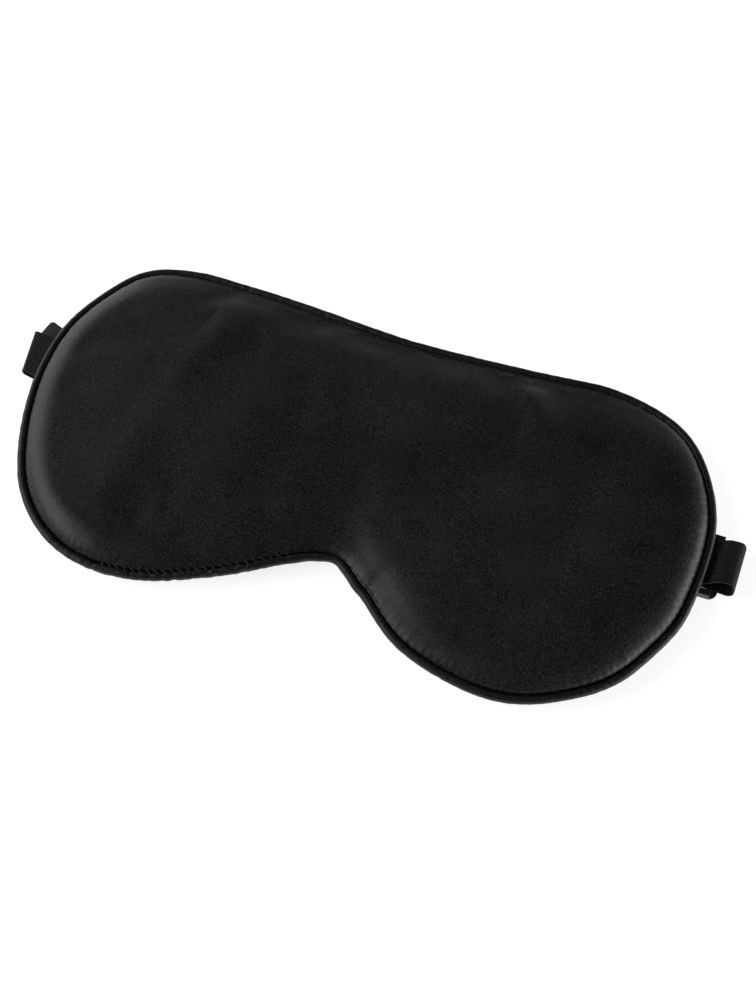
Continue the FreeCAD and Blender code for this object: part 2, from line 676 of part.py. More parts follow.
def strap_slider(doc, sheet):
    """Three-bar slider: the elastic runs under its middle bar and over its two outer bars."""
    body, middle = fitting_frame(doc, sheet, "slider", f"{D}slider_foot", f"{D}foot_thick")
    half_cheek = cell(sheet, "fitting_half", 0.5)[0] - cell(sheet, "window_half", 0.5)[0]
    cheek_size = (half_cheek, f"({D}fitting_half - {D}window_half) / 2")
    offset = (sheet.fitting_half + sheet.window_half) / 2
    cheeks = []
    for side in (LEFT, RIGHT):
        across = f"{D}strap_middle + {side} * ({D}fitting_half + {D}window_half) / 2"
        cheek_middle = (sheet.strap_middle + side * offset, across)
        cheeks.append((middle[0], cheek_middle, cell(sheet, "slider_window", 0.5), cheek_size))
    top = f"{D}bar_low + {D}bar_thick - {D}slider_foot"
    layer(doc, body, "Cheeks", f"{D}slider_foot", top, cheeks)
    bar = (*middle, cell(sheet, "slider_bar", 0.5), cell(sheet, "fitting_half"))
    layer(doc, body, "MiddleBar", f"{D}bar_low", f"{D}bar_thick", [bar])
    rims = rim_edges(body.Tip.Shape, sheet.bar_low + sheet.bar_thick)
    fillet(doc, body, rims, f"{D}bar_thick / 4")
    return body


def thread(start, end, diameter):
    """One straight stitch."""
    along = end - start
    return Part.makeCylinder(diameter / 2, along.Length, start, along)


def stitch_group(doc, label, stitches):
    """A node that holds separate stitches."""
    group = doc.addObject("Part::Feature", label)
    group.Shape = Part.makeCompound(stitches)
    return group


def closing_stitches(doc, sheet):
    """Top stitches in the groove beside the piping, where the turning gap is sewn shut."""
    lobe = mirrored(outline_centres(sheet)[3])
    lobe.z = sheet.piping_level + sheet.stitch_rise
    radius = sheet.lobe_radius - sheet.stitch_inset
    first, last = math.radians(sheet.stitch_first), math.radians(sheet.stitch_last)
    stitches = []
    for i in range(int((last - first) * radius / sheet.stitch_pitch)):
        start = first + i * sheet.stitch_pitch / radius
        ends = []
        for angle in (start, start + sheet.stitch_length / radius):
            ends.append(lobe + Vector(math.cos(angle), math.sin(angle), 0) * radius)
        stitches.append(thread(*ends, sheet.thread_diameter))
    return stitch_group(doc, "closing_stitches", stitches)


def zigzag(sheet, near, far, level, count):
    """Slanted stitches side by side across the elastic."""
    half = sheet.band_width / 2 - sheet.row_margin
    step = 2 * half / count
    stitches = []
    for i in range(int(count)):
        y = sheet.strap_middle - half + i * step
        start = Vector(near, y, level)
        end = Vector(far, y + step / 2, level)
        stitches.append(thread(start, end, sheet.thread_diameter))
    return stitches


def strap_tack(doc, sheet, label, side):
    """Bar tack that holds a sewn strap end, where it lies on the front allowance."""
    level = sheet.front_low + sheet.allowance + sheet.thread_diameter
    near = side * (sheet.half_width - sheet.tack_inner)
    far = side * (sheet.half_width - sheet.tack_outer)
    return stitch_group(doc, label, zigzag(sheet, near, far, level, sheet.tack_count))


def strap_stitches(doc, sheet, label, near):
    """A row of stitches on the upper layer of the elastic beside a bar."""
    level = sheet.upper_level + sheet.band_thick / 2
    level += sheet.thread_diameter / 2 + sheet.row_lift
    row = zigzag(sheet, near, near + sheet.row_length, level, sheet.row_count)
    return stitch_group(doc, label, row)


def faults(doc, parts):
    """Every object that failed to compute, and every sub-part whose shape is not sound."""
    found = [o.Name for o in doc.Objects if "Invalid" in o.State or "Error" in o.State]
    for part in parts:
        shape = part.Shape
        if shape.isNull() or not shape.isValid() or shape.Volume <= 0:
            found.append(part.Label)
    return found


def main():
    doc = FreeCAD.newDocument("sleep_eye_mask")
    sheet = fill_sheet(doc)
    parts = [
        front_cover(doc, sheet),
        back_cover(doc, sheet),
        blackout_lining(doc, sheet),
        padding_front(doc, sheet),
        padding_back(doc, sheet),
        piping_cord(doc, sheet),
        piping_cover(doc, sheet),
        seam_thread(doc, sheet),
        closing_stitches(doc, sheet),
        strap_tack(doc, sheet, "left_strap_tack", LEFT),
        strap_tack(doc, sheet, "right_strap_tack", RIGHT),
        strap_tab(doc, sheet),
        strap_band(doc, sheet),
        strap_return(doc, sheet),
        strap_ring(doc, sheet),
        strap_slider(doc, sheet),
        strap_stitches(doc, sheet, "tab_stitches", sheet.tab_row - sheet.half_width),
        strap_stitches(doc, sheet, "return_stitches", sheet.slider_middle - sheet.return_row),
    ]
    doc.recompute()
    bad = faults(doc, parts)
    if bad:
        raise RuntimeError(f"not sound: {bad}")
    os.makedirs("parts", exist_ok=True)
    for part in parts:
        part.Shape.exportStep(f"parts/{part.Label}.step")
        box = part.Shape.optimalBoundingBox(True, False)
        print(
            f"{part.Label:18s} {len(part.Shape.Solids):3d} solids {part.Shape.Volume:10.1f} mm3 "
            f"X {box.XMin:7.2f} {box.XMax:7.2f} Y {box.YMin:7.2f} {box.YMax:7.2f} "
            f"Z {box.ZMin:6.2f} {box.ZMax:6.2f}"
        )


main()
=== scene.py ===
import math

import bmesh
import bpy
import numpy as np
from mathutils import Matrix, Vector, noise
from mathutils.geometry import delaunay_2d_cdt


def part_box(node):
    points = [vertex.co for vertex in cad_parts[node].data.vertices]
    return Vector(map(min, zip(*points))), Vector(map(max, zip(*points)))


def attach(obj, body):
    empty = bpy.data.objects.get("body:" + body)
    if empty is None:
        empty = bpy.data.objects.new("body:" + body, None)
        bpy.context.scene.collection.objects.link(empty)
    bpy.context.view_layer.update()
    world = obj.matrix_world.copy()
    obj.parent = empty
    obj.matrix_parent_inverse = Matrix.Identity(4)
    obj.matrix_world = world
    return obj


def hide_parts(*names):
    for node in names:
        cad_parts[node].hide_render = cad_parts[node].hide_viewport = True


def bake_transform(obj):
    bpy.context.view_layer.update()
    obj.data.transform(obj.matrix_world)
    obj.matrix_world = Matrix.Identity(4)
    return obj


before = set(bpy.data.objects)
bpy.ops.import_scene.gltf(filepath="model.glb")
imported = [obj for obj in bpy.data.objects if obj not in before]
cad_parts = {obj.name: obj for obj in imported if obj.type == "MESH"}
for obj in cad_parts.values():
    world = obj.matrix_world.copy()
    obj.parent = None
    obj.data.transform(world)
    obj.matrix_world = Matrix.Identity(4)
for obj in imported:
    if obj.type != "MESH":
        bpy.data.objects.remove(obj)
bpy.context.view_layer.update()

# A padded satin sleep mask with piping and an adjustable elastic strap, lying on its back.
# Lengths are in metres in the frame's own axes: +X across the face, +Y towards the forehead,
# +Z out of the front. MM turns millimetres into metres.

MM = 0.001

# Studio.
AIM = (9.39 * MM, -6.97 * MM, 5.5 * MM)
CAMERA_AZIMUTH = 19.83
CAMERA_ELEVATION = 59.87
CAMERA_DISTANCE = 0.499
CAMERA_LENS = 60.53
FLOOR_DROP = 0.05 * MM
FLOOR_SIZE = 1.8
FLOOR_GLOW = 0.82
BACKDROP_SEEN = 1.0
BACKDROP_LIGHT = 0.085
BOX_DISTANCE = 1.1
# Each softbox: its name, azimuth and elevation in degrees, size in metres and power in watts.
SOFTBOXES = [
    ("left_box", 152, 15, (0.95, 0.42), 2.3),
    ("upper_left_box", 198, 37, (0.90, 0.44), 4.0),
    ("right_box", 8, 7, (1.3, 0.27), 6.6),
]

# The outline: arcs tangent to each other, which every layer shares at its own inset.
EDGE_LOW, EDGE_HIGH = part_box("piping_cover")
TOP_CENTRE = 51.5 * MM
NOTCH_DROP = 30.7 * MM
TOP_RADIUS = 440.0 * MM
SHOULDER_RADIUS = 44.5 * MM
SIDE_RADIUS = 84.0 * MM
LOBE_RADIUS = 43.0 * MM
NOTCH_RADIUS = 10.0 * MM
ARC_STEPS = 400

# Where the sewn edge departs from the pattern, each in millimetres: how far along the outline
# from the middle of the upper edge, over what reach, and how far outwards.
SEWN_SHIFTS = [
    (30, 30, 0.6), (90, 14, 1.4), (158, 10, 0.9), (200, 14, -1.1), (253, 13, 2.7),
    (275, 6, -1.9), (274, 4, 1.5), (283, 3, -1.2), (292, 5, 0.4), (314, 15, 1.3),
    (366, 14, 0.5), (415, 18, -0.5), (484, 12, 2.3), (513, 10, -1.1), (546, 22, 0.9),
]

# Layers.
PIPING_RADIUS = (EDGE_HIGH.z - EDGE_LOW.z) / 2
PIPING_LEVEL = (EDGE_HIGH.z + EDGE_LOW.z) / 2
EDGE_INSET = 1.3 * MM
SEAM_INSET = 2.75 * MM
HEM_INSET = 7.75 * MM
SKIN = 0.4 * MM
NET_SPACING = 3.0 * MM
RIM_RINGS = 9
BAND_LOW, BAND_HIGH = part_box("strap_band")
STRAP_MIDDLE = (BAND_LOW.y + BAND_HIGH.y) / 2
BAND_WIDTH = BAND_HIGH.y - BAND_LOW.y
BAND_THICK = 0.6 * MM
CORD_PITCH = 0.75 * MM
CORD_DEPTH = 0.13 * MM
SELVAGE = 0.55 * MM

# Which sockets of Blender's Mix node hold its two colours and its result.
MIX_LOW, MIX_HIGH, MIX_RESULT = 6, 7, 2


def smooth_step(low, high, value):
    """0 below low, 1 above high and smooth between them."""
    t = np.clip((value - low) / (high - low), 0, 1)
    return t * t * (3 - 2 * t)


# ---- the outline


def heading(origin, target):
    """The angle of the line from one point to another."""
    return math.atan2(target[1] - origin[1], target[0] - origin[0])


def outline_arcs():
    """The arcs of the right half, from the middle of the upper edge round to the notch.

    Each is a centre, a radius, the angles it runs between, and 1 where it bulges outwards
    or -1 where it is hollow. The gap before the last arc is the straight flank.
    """
    shoulder_y = EDGE_HIGH.y - SHOULDER_RADIUS
    top = (0.0, TOP_CENTRE + TOP_RADIUS)
    reach = TOP_RADIUS + SHOULDER_RADIUS
    shoulder = (math.sqrt(reach**2 - (top[1] - shoulder_y) ** 2), shoulder_y)
    side_x = EDGE_HIGH.x - SIDE_RADIUS
    reach = SIDE_RADIUS - SHOULDER_RADIUS
    side = (side_x, shoulder_y - math.sqrt(reach**2 - (shoulder[0] - side_x) ** 2))
    lobe_y = EDGE_LOW.y + LOBE_RADIUS
    reach = SIDE_RADIUS - LOBE_RADIUS
    lobe = (side_x + math.sqrt(reach**2 - (side[1] - lobe_y) ** 2), lobe_y)
    notch = (0.0, -NOTCH_DROP - NOTCH_RADIUS)
    between = math.acos((LOBE_RADIUS + NOTCH_RADIUS) / math.dist(lobe, notch))
    flank = heading(lobe, notch) + between
    return [
        (top, TOP_RADIUS, -math.pi / 2, heading(top, shoulder), -1),
        (shoulder, SHOULDER_RADIUS, heading(shoulder, top), heading(side, shoulder), 1),
        (side, SIDE_RADIUS, heading(side, shoulder), heading(side, lobe), 1),
        (lobe, LOBE_RADIUS, heading(side, lobe), flank, 1),
        (notch, NOTCH_RADIUS, flank + math.pi, math.pi / 2, -1),
    ]


ARCS = outline_arcs()


def dense_outline():
    """Closely spaced points of the whole outline, clockwise, with outward normals."""
    points, normals = [], []
    for centre, radius, start, end, bulge in ARCS:
        angles = np.linspace(start, end, ARC_STEPS)
        spokes = np.stack([np.cos(angles), np.sin(angles)], axis=1)
        points.append(np.array(centre) + radius * spokes)
        normals.append(bulge * spokes)
    points, normals = np.concatenate(points), np.concatenate(normals)
    flip = np.array([-1, 1])
    points = np.concatenate([points, points[-2:0:-1] * flip])
    normals = np.concatenate([normals, normals[-2:0:-1] * flip])
    return points, normals


DENSE_POINTS, DENSE_NORMALS = dense_outline()


def sewn_shift(along):
    """How far the edge, as sewn, lies outside the pattern at a distance along it."""
    shift = np.zeros_like(along)
    for middle, reach, amount in SEWN_SHIFTS:
        shift += amount * MM * np.exp(-(((along - middle * MM) / (reach * MM)) ** 2))
    return shift


def outline(count):
    """Evenly spaced points of the outline, their outward normals and how far along they are."""
    closed = np.concatenate([DENSE_POINTS, DENSE_POINTS[:1]])
    turned = np.concatenate([DENSE_NORMALS, DENSE_NORMALS[:1]])
    steps = np.linalg.norm(np.diff(closed, axis=0), axis=1)
    along = np.concatenate([[0], np.cumsum(steps)])
    at = np.linspace(0, along[-1], count, endpoint=False)
    points = np.stack([np.interp(at, along, closed[:, k]) for k in (0, 1)], axis=1)
    normals = np.stack([np.interp(at, along, turned[:, k]) for k in (0, 1)], axis=1)
    normals /= np.linalg.norm(normals, axis=1, keepdims=True)
    return points + sewn_shift(at)[:, None] * normals, normals, at


OUTLINE_LENGTH = outline(4)[2][1] * 4
NET_COUNT = round(OUTLINE_LENGTH / NET_SPACING)


def on_arc(centre, radius, angle):
    """A point of an arc."""
    return np.array(centre) + radius * np.array([math.cos(angle), math.sin(angle)])


def locate(points):
    """How far each flat point is inside the outline, and how far along it the nearest point is."""
    x, y = np.abs(points[:, 0]), points[:, 1]
    best = np.full(len(points), np.inf)
    along = np.zeros(len(points))
    done = 0.0
    last = None
    for centre, radius, start, end, bulge in ARCS:
        first = on_arc(centre, radius, start)
        if last is not None and np.linalg.norm(first - last) > MM:
            run = first - last
            length = np.linalg.norm(run)
            run /= length
            t = (x - last[0]) * run[0] + (y - last[1]) * run[1]
            inset = (x - last[0]) * run[1] - (y - last[1]) * run[0]
            near = (t >= 0) & (t <= length) & (np.abs(inset) < np.abs(best))
            best = np.where(near, inset, best)
            along = np.where(near, done + t, along)
            done += length
        dx, dy = x - centre[0], y - centre[1]
        turn = np.arctan2(dy, dx) - start
        turn = (turn + math.pi) % (2 * math.pi) - math.pi
        span = end - start
        inset = bulge * (radius - np.hypot(dx, dy))
        share = turn / span
        near = (share >= -1e-9) & (share <= 1 + 1e-9) & (np.abs(inset) < np.abs(best))
        best = np.where(near, inset, best)
        along = np.where(near, done + np.abs(turn) * radius, along)
        done += abs(span) * radius
        last = on_arc(centre, radius, end)
    along = np.where(points[:, 0] < 0, OUTLINE_LENGTH - along, along)
    return best + sewn_shift(along), along


# ---- meshes


def add_object(name, data):
    """A new object in the scene."""
    made = bpy.data.objects.new(name, data)
    bpy.context.scene.collection.objects.link(made)
    return made


def add_mesh(name, points, faces, material):
    """A smooth-shaded mesh object of the given points and faces."""
    mesh = bpy.data.meshes.new(name)
    mesh.from_pydata([tuple(p) for p in points], [], [tuple(f) for f in faces])
    mesh.update()
    mesh.shade_smooth()
    mesh.materials.append(material)
    return add_object(name, mesh)


def strip(rings, size, closed=False):
    """Quads that join rings of points, in a closed loop or with a face at both ends."""
    faces = []
    for i in range(rings if closed else rings - 1):
        a, b = i * size, (i + 1) % rings * size
        for j in range(size):
            k = (j + 1) % size
            faces.append([a + j, a + k, b + k, b + j])
    if closed:
        return faces
    return faces + [list(range(size)), list(range((rings - 1) * size, rings * size))[::-1]]


def vectors(items, key):
    """One vector of each of a mesh's items, as an array."""
    flat = np.zeros(len(items) * 3, np.float32)
    items.foreach_get(key, flat)
    return flat.reshape(-1, 3).astype(float)


def coordinates(mesh):
    """The points of a mesh."""
    return vectors(mesh.vertices, "co")


def vertex_normals(mesh):
    """The normals at the points of a mesh."""
    return vectors(mesh.vertex_normals, "vector")


def move_points(mesh, points):
    """Gives a mesh new points."""
    mesh.vertices.foreach_set("co", np.asarray(points, np.float32).ravel())
    mesh.update()


def bake_modifiers(made):
    """Replaces a mesh with what its modifiers make of it."""
    graph = bpy.context.evaluated_depsgraph_get()
    mesh = bpy.data.meshes.new_from_object(made.evaluated_get(graph))
    made.modifiers.clear()
    made.data = mesh
    mesh.shade_smooth()


def subdivide(made, levels):
    """Subdivision surface of some levels, applied."""
    step = made.modifiers.new("Subdivision", "SUBSURF")
    step.levels = step.render_levels = levels
    bake_modifiers(made)


def thicken(made, thickness):
    """Gives a cloth its thickness, inwards, applied."""
    step = made.modifiers.new("Thickness", "SOLIDIFY")
    step.thickness = thickness
    step.offset = -1
    step.use_rim = True
    bake_modifiers(made)


def net(start, width):
    """A flat net of quads over the mask: rings over a stuffed edge and a square fill inside.

    The rings are closer together near the seam, and the first ring's points come first.
    Returns the points, how far inside the outline each one is, and the faces.
    """
    share = np.linspace(0, 1, RIM_RINGS)
    edge, normals, _ = outline(NET_COUNT)
    points = [edge - (start + width * (0.45 * t + 0.55 * t**2)) * normals for t in share]
    across = np.arange(-40, 41) * NET_SPACING
    fill = np.stack(np.meshgrid(across, across), axis=-1).reshape(-1, 2)
    inset, _ = locate(fill)
    points.append(fill[(inset > start + width + 0.6 * NET_SPACING) & (inset < np.inf)])
    points = np.concatenate(points)
    ring = [(i, (i + 1) % NET_COUNT) for i in range(NET_COUNT)]
    flat = [Vector(p / MM) for p in points]
    made = delaunay_2d_cdt(flat, ring, [list(range(NET_COUNT))], 1, 1e-6)
    net_points = np.array([tuple(p) for p in made[0]]) * MM
    work = bmesh.new()
    for x, y in net_points:
        work.verts.new((x, y, 0))
    work.verts.ensure_lookup_table()
    for face in made[2]:
        work.faces.new([work.verts[i] for i in face])
    bmesh.ops.join_triangles(
        work, faces=work.faces[:], angle_face_threshold=1.0, angle_shape_threshold=0.9
    )
    bmesh.ops.recalc_face_normals(work, faces=work.faces[:])
    if work.faces[0].normal.z < 0:
        bmesh.ops.reverse_faces(work, faces=work.faces[:])
    work.verts.index_update()
    faces = [[v.index for v in face.verts] for face in work.faces]
    work.free()
    return net_points, locate(net_points)[0], faces


# ---- materials


class Shader:
    """A node material built round one Principled shader."""

    def __init__(self, name):
        self.material = bpy.data.materials.new(name)
        self.material.use_nodes = True
        self.tree = self.material.node_tree
        self.surface = self.tree.nodes["Principled BSDF"]
        self.place = self.add("ShaderNodeTexCoord").outputs["Object"]

    def add(self, kind, **settings):
        """A node with some of its properties set."""
        node = self.tree.nodes.new(kind)
        for key, value in settings.items():
            setattr(node, key, value)
        return node

    def put(self, socket, value):
        """Gives an input a plain value or another node's output."""
        if isinstance(value, bpy.types.NodeSocket):
            self.tree.links.new(value, socket)
        elif isinstance(value, tuple) and len(value) == 3 and socket.type == "RGBA":
            socket.default_value = (*value, 1.0)
        else:
            socket.default_value = value

    def feed(self, node, **values):
        """Gives inputs of a node their values, with _ for a space in their names."""
        for key, value in values.items():
            self.put(node.inputs[key.replace("_", " ")], value)

    def set(self, **values):
        """Gives inputs of the Principled shader their values."""
        self.feed(self.surface, **values)

    def scaled(self, scale, turn=(0, 0, 0), source=None):
        """The object's coordinates, stretched and turned."""
        node = self.add("ShaderNodeMapping")
        self.feed(node, Vector=source or self.place, Scale=scale, Rotation=turn)
        return node.outputs["Vector"]

    def noise(self, vector, scale=1.0, detail=2.0, roughness=0.5):
        """Noise from 0 to 1."""
        node = self.add("ShaderNodeTexNoise")
        self.feed(node, Vector=vector, Scale=scale, Detail=detail, Roughness=roughness)
        return node.outputs["Fac"]

    def span(self, value, low, high, to_low, to_high):
        """A value's range moved to another range, held at its ends."""
        node = self.add("ShaderNodeMapRange")
        node.clamp = True
        inputs = (value, low, high, to_low, to_high)
        for socket, given in zip(node.inputs, inputs):
            self.put(socket, given)
        return node.outputs["Result"]

    def math(self, operation, *values):
        """One arithmetic step."""
        node = self.add("ShaderNodeMath", operation=operation)
        for socket, value in zip(node.inputs, values):
            self.put(socket, value)
        return node.outputs["Value"]

    def blend(self, share, low, high):
        """A colour between two colours."""
        node = self.add("ShaderNodeMix", data_type="RGBA")
        self.put(node.inputs["Factor"], share)
        self.put(node.inputs[MIX_LOW], low)
        self.put(node.inputs[MIX_HIGH], high)
        return node.outputs[MIX_RESULT]

    def bump(self, height, depth, strength=1.0):
        """Bump of a height from 0 to 1 that stands for a depth in metres."""
        node = self.add("ShaderNodeBump")
        self.feed(node, Strength=strength, Distance=depth, Height=height)
        self.set(Normal=node.outputs["Normal"])


def satin_material(name, dark, light, turn, rough):
    """Black satin: long floats along one way, fine crosswise threads and a soft sheen."""
    shader = Shader(name)
    floats = shader.noise(shader.scaled((1500, 5200, 2500), turn), detail=2.0)
    cross = shader.noise(shader.scaled((5000, 2200, 3000), turn), detail=1.0)
    speckle = shader.noise(shader.place, scale=2300, detail=2.0, roughness=0.7)
    cloud = shader.noise(shader.place, scale=45, detail=2.0)
    fleck = shader.noise(shader.place, scale=2100, detail=0.0)
    # Small light specks: partly lint on the cloth, partly painted glints of single threads.
    lint_and_glint = shader.span(fleck, 0.80, 0.86, 0, 0.6)
    weave = shader.math("MULTIPLY_ADD", cross, 0.5, floats)
    tone = shader.math("MULTIPLY_ADD", cloud, 0.25, speckle)
    colour = shader.blend(shader.span(tone, 0.54, 0.84, 0, 1), dark, light)
    colour = shader.blend(lint_and_glint, colour, (0.06, 0.06, 0.06))
    shader.set(Base_Color=colour, Roughness=shader.span(speckle, 0.3, 0.7, rough, rough + 0.12))
    shader.set(Sheen_Weight=0.02, Sheen_Roughness=0.35, Specular_IOR_Level=0.45)
    height = shader.math("MULTIPLY_ADD", speckle, 1.5, weave)
    shader.bump(height, 0.022 * MM, 1.0)
    return shader.material


def elastic_material(name):
    """Knitted black elastic: cords along the band crossed by fine covering yarn, with painted
    shade in the grooves between the cords.
    """
    shader = Shader(name)
    ribbon = shader.add("ShaderNodeAttribute", attribute_name="ribbon").outputs["Vector"]
    yarn = shader.noise(shader.scaled((6.5, 2.2, 1.0), source=ribbon), detail=2.0)
    parts = shader.add("ShaderNodeSeparateXYZ")
    shader.put(parts.inputs[0], ribbon)
    across = shader.math("MULTIPLY", parts.outputs["X"], 2 * math.pi * MM / CORD_PITCH)
    ridge = shader.math("MULTIPLY_ADD", shader.math("COSINE", across), 0.5, 0.5)
    height = shader.math("MULTIPLY_ADD", yarn, 0.35, ridge)
    # Painted shade: the colour follows the cords, darker in the grooves between them and lighter
    # on their tops.
    tone = shader.math("MULTIPLY_ADD", yarn, 0.5, ridge)
    colour = shader.blend(
        shader.span(tone, 0.45, 1.25, 0, 1), (0.0006, 0.0006, 0.0006), (0.032, 0.032, 0.033)
    )
    shader.set(Base_Color=colour, Roughness=shader.span(yarn, 0.3, 0.7, 0.55, 0.75))
    shader.set(Sheen_Weight=0.03, Sheen_Roughness=0.5, Specular_IOR_Level=0.3)
    shader.bump(height, 0.14 * MM, 0.8)
    return shader.material


def fibre_material(name, dark, light, scale, depth, roughness=0.85):
    """Matt fibres or a dull weave, for wadding, twine, thread and lining."""
    shader = Shader(name)
    strands = shader.noise(shader.scaled((scale, scale * 0.35, scale)), detail=4.0)
    patches = shader.noise(shader.place, scale=scale * 0.1, detail=2.0)
    tone = shader.math("MULTIPLY_ADD", patches, 0.5, strands)
    colour = shader.blend(shader.span(tone, 0.4, 1.1, 0, 1), dark, light)
    shader.set(Base_Color=colour, Roughness=roughness, Specular_IOR_Level=0.3)
    shader.set(Sheen_Weight=0.1)
    shader.bump(strands, depth, 0.7)
    return shader.material


def nylon_material(name):
    """Moulded dark nylon with a fine grain and a painted highlight that makes its sharp edges a
    little brighter.
    """
    shader = Shader(name)
    grain = shader.noise(shader.place, scale=2600, detail=2.0)
    cloud = shader.noise(shader.place, scale=160, detail=2.0)
    convexity = shader.add("ShaderNodeNewGeometry").outputs["Pointiness"]
    # Painted highlight: sharp convex edges, found by their pointiness, are coloured lighter.
    edge = shader.span(convexity, 0.52, 0.60, 0, 1)
    colour = shader.blend(cloud, (0.010, 0.010, 0.011), (0.018, 0.018, 0.019))
    colour = shader.blend(shader.math("MULTIPLY", edge, 0.6), colour, (0.05, 0.05, 0.05))
    rough = shader.span(grain, 0.3, 0.7, 0.30, 0.42)
    shader.set(Base_Color=colour, Roughness=rough, Specular_IOR_Level=0.5)
    shader.bump(grain, 0.02 * MM, 0.4)
    return shader.material


SATIN = satin_material("satin", (0.0003,) * 3, (0.050,) * 3, (0, 0, math.radians(8)), 0.35)
PIPING = satin_material("piping_satin", (0.0005,) * 3, (0.03,) * 3, (0, 0, math.radians(45)), 0.42)
ELASTIC = elastic_material("elastic")
THREAD = fibre_material("thread", (0.006,) * 3, (0.03,) * 3, 9000, 0.03 * MM, 0.6)
# Painted highlight: the visible hand stitches use a lighter copy of the black thread, for the
# light dashes along the lower left edge.
HIGHLIT_THREAD = fibre_material("highlit_thread", (0.02,) * 3, (0.07,) * 3, 9000, 0.03 * MM, 0.5)
WADDING = fibre_material("wadding", (0.45,) * 3, (0.72,) * 3, 900, 0.3 * MM)
TWINE = fibre_material("twine", (0.35, 0.33, 0.30), (0.62, 0.60, 0.55), 4000, 0.08 * MM)
LINING = fibre_material("blackout_cloth", (0.004,) * 3, (0.014,) * 3, 3200, 0.05 * MM)
NYLON = nylon_material("nylon")
SMOOTH_ELASTIC = fibre_material(
    "smooth_elastic", (0.010,) * 3, (0.034,) * 3, 1500, 0.03 * MM, 0.55
)


# ---- padded covers

SIDE_SHOULDER = 7.5 * MM
TOP_SHOULDER = 20.0 * MM
TOP_FADE = (-10 * MM, 30 * MM)
TOP_ENDS = (62 * MM, 96 * MM)
FRONT_SEAM = 6.0 * MM
FRONT_RISE = 4.5 * MM
FRONT_CROWN = 1.1 * MM
FLANK_SHOULDER = 14.0 * MM
FLANK_PLACE = (21 * MM, -42 * MM)
FLANK_REACH = (31 * MM, 26 * MM)
RIM_BULGE = (0.45 * MM, 0.90 * MM, 0.60 * MM)
RIM_LIFT = 0.2 * MM
NOTCH_DIP = 0.4 * MM
NOTCH_REACH = 12.0 * MM
BACK_SEAM = 4.65 * MM
BACK_SHOULDER = 12.0 * MM
CHANNEL_ROOF = 3.8 * MM
CHANNEL_FLAT = 10.9 * MM
CHANNEL_EDGE = 16.5 * MM
SLOT_HALF = 8.2 * MM
SLOT_ROOF = 3.0 * MM
SLOT_START = 97.0 * MM
STITCH_PITCH = 2.6 * MM
WADDING_HOLD = 0.2
PAD_INSET = 0.8 * MM
FRONT_PAD_GAP = 1.25 * MM
FRONT_PAD_LOW = 6.0 * MM
BACK_PAD_GAP = 1.1 * MM
BACK_PAD_HIGH = 5.5 * MM
LINING_LEVEL = 5.84 * MM
LINING_THICK = 0.2 * MM

# Soft folds of the front, in millimetres: from, to, half width and height.
FOLDS = [
    ((-54, 40), (-61, 8), 6.0, 0.46),
    ((-61, 10), (-66, -36), 8.0, 0.46),
    ((-14, 18), (-3, -12), 8.0, 0.16),
    ((41, 42), (46, 34), 3.5, 0.95),
    ((47, 32), (52, 14), 7.0, 0.15),
    ((72, 20), (76, -18), 9.0, -0.20),
    ((3, -30), (1, -14), 8.0, -0.9),
]


def edge_rise(depth, width, power=2.0):
    """The rise of a stuffed edge, 0 at the seam and 1 from a width inwards."""
    return 1 - (1 - np.clip(depth / width, 0, 1)) ** power


def front_rise(points, depth):
    """The rise of the front's edge, from 0 to 1.

    It is steep at the sides, wider along the top and wide along the nose notch's flanks.
    """
    x, y = np.abs(points[:, 0]), points[:, 1]
    top = smooth_step(*TOP_FADE, y) * (1 - smooth_step(*TOP_ENDS, x))
    width = SIDE_SHOULDER + top * (TOP_SHOULDER - SIDE_SHOULDER)
    steep = edge_rise(depth, width, 2.1)
    gentle = edge_rise(depth, FLANK_SHOULDER, 1.6)
    away = ((x - FLANK_PLACE[0]) / FLANK_REACH[0]) ** 2
    away += ((y - FLANK_PLACE[1]) / FLANK_REACH[1]) ** 2
    return steep + np.exp(-away) * (gentle - steep)


def fold_relief(points):
    """Height that the soft folds of the front add."""
    total = np.zeros(len(points))
    for start, end, width, height in FOLDS:
        start, end = np.array(start) * MM, np.array(end) * MM
        run = end - start
        length = np.linalg.norm(run)
        run /= length
        away = points[:, :2] - start
        along = away @ run
        across = away @ np.array([-run[1], run[0]])
        over = np.maximum(np.maximum(-along, along - length), 0)
        reach = (across / (width * MM)) ** 2 + (over / (1.6 * width * MM)) ** 2
        total += height * MM * np.exp(-reach)
    return total


def front_height(points, inset, lift=0.0):
    """Height of the front cover before it is stuffed, or of a layer so far below it."""
    depth = np.maximum(inset - SEAM_INSET, 0)
    crown = smooth_step(0, 34 * MM, depth)
    reach = np.hypot(points[:, 0], points[:, 1] + NOTCH_DROP)
    dip = NOTCH_DIP * np.exp(-((reach / NOTCH_REACH) ** 2)) * smooth_step(0, 8 * MM, depth)
    rise = FRONT_RISE * front_rise(points, depth) + FRONT_CROWN * crown - dip
    folds = fold_relief(points) * smooth_step(0, 10 * MM, depth)
    return FRONT_SEAM + rise + folds + lift


def back_height(points, inset, lift=0.0):
    """Height of the back cover, which the strap and its fittings press a channel into."""
    depth = np.maximum(inset - SEAM_INSET, 0)
    rounded = BACK_SEAM * (1 - edge_rise(depth, BACK_SHOULDER))
    across = np.abs(points[:, 1] - STRAP_MIDDLE)
    channel = CHANNEL_ROOF * (1 - smooth_step(CHANNEL_FLAT, CHANNEL_EDGE, across))
    height = np.maximum(rounded, channel)
    beside = smooth_step(SLOT_HALF, SLOT_HALF + 3 * MM, across)
    before = 1 - smooth_step(SLOT_START, SLOT_START + 3 * MM, np.abs(points[:, 0]))
    slot = SLOT_ROOF + 2 * MM * np.maximum(beside, before)
    return np.minimum(height, slot) + lift


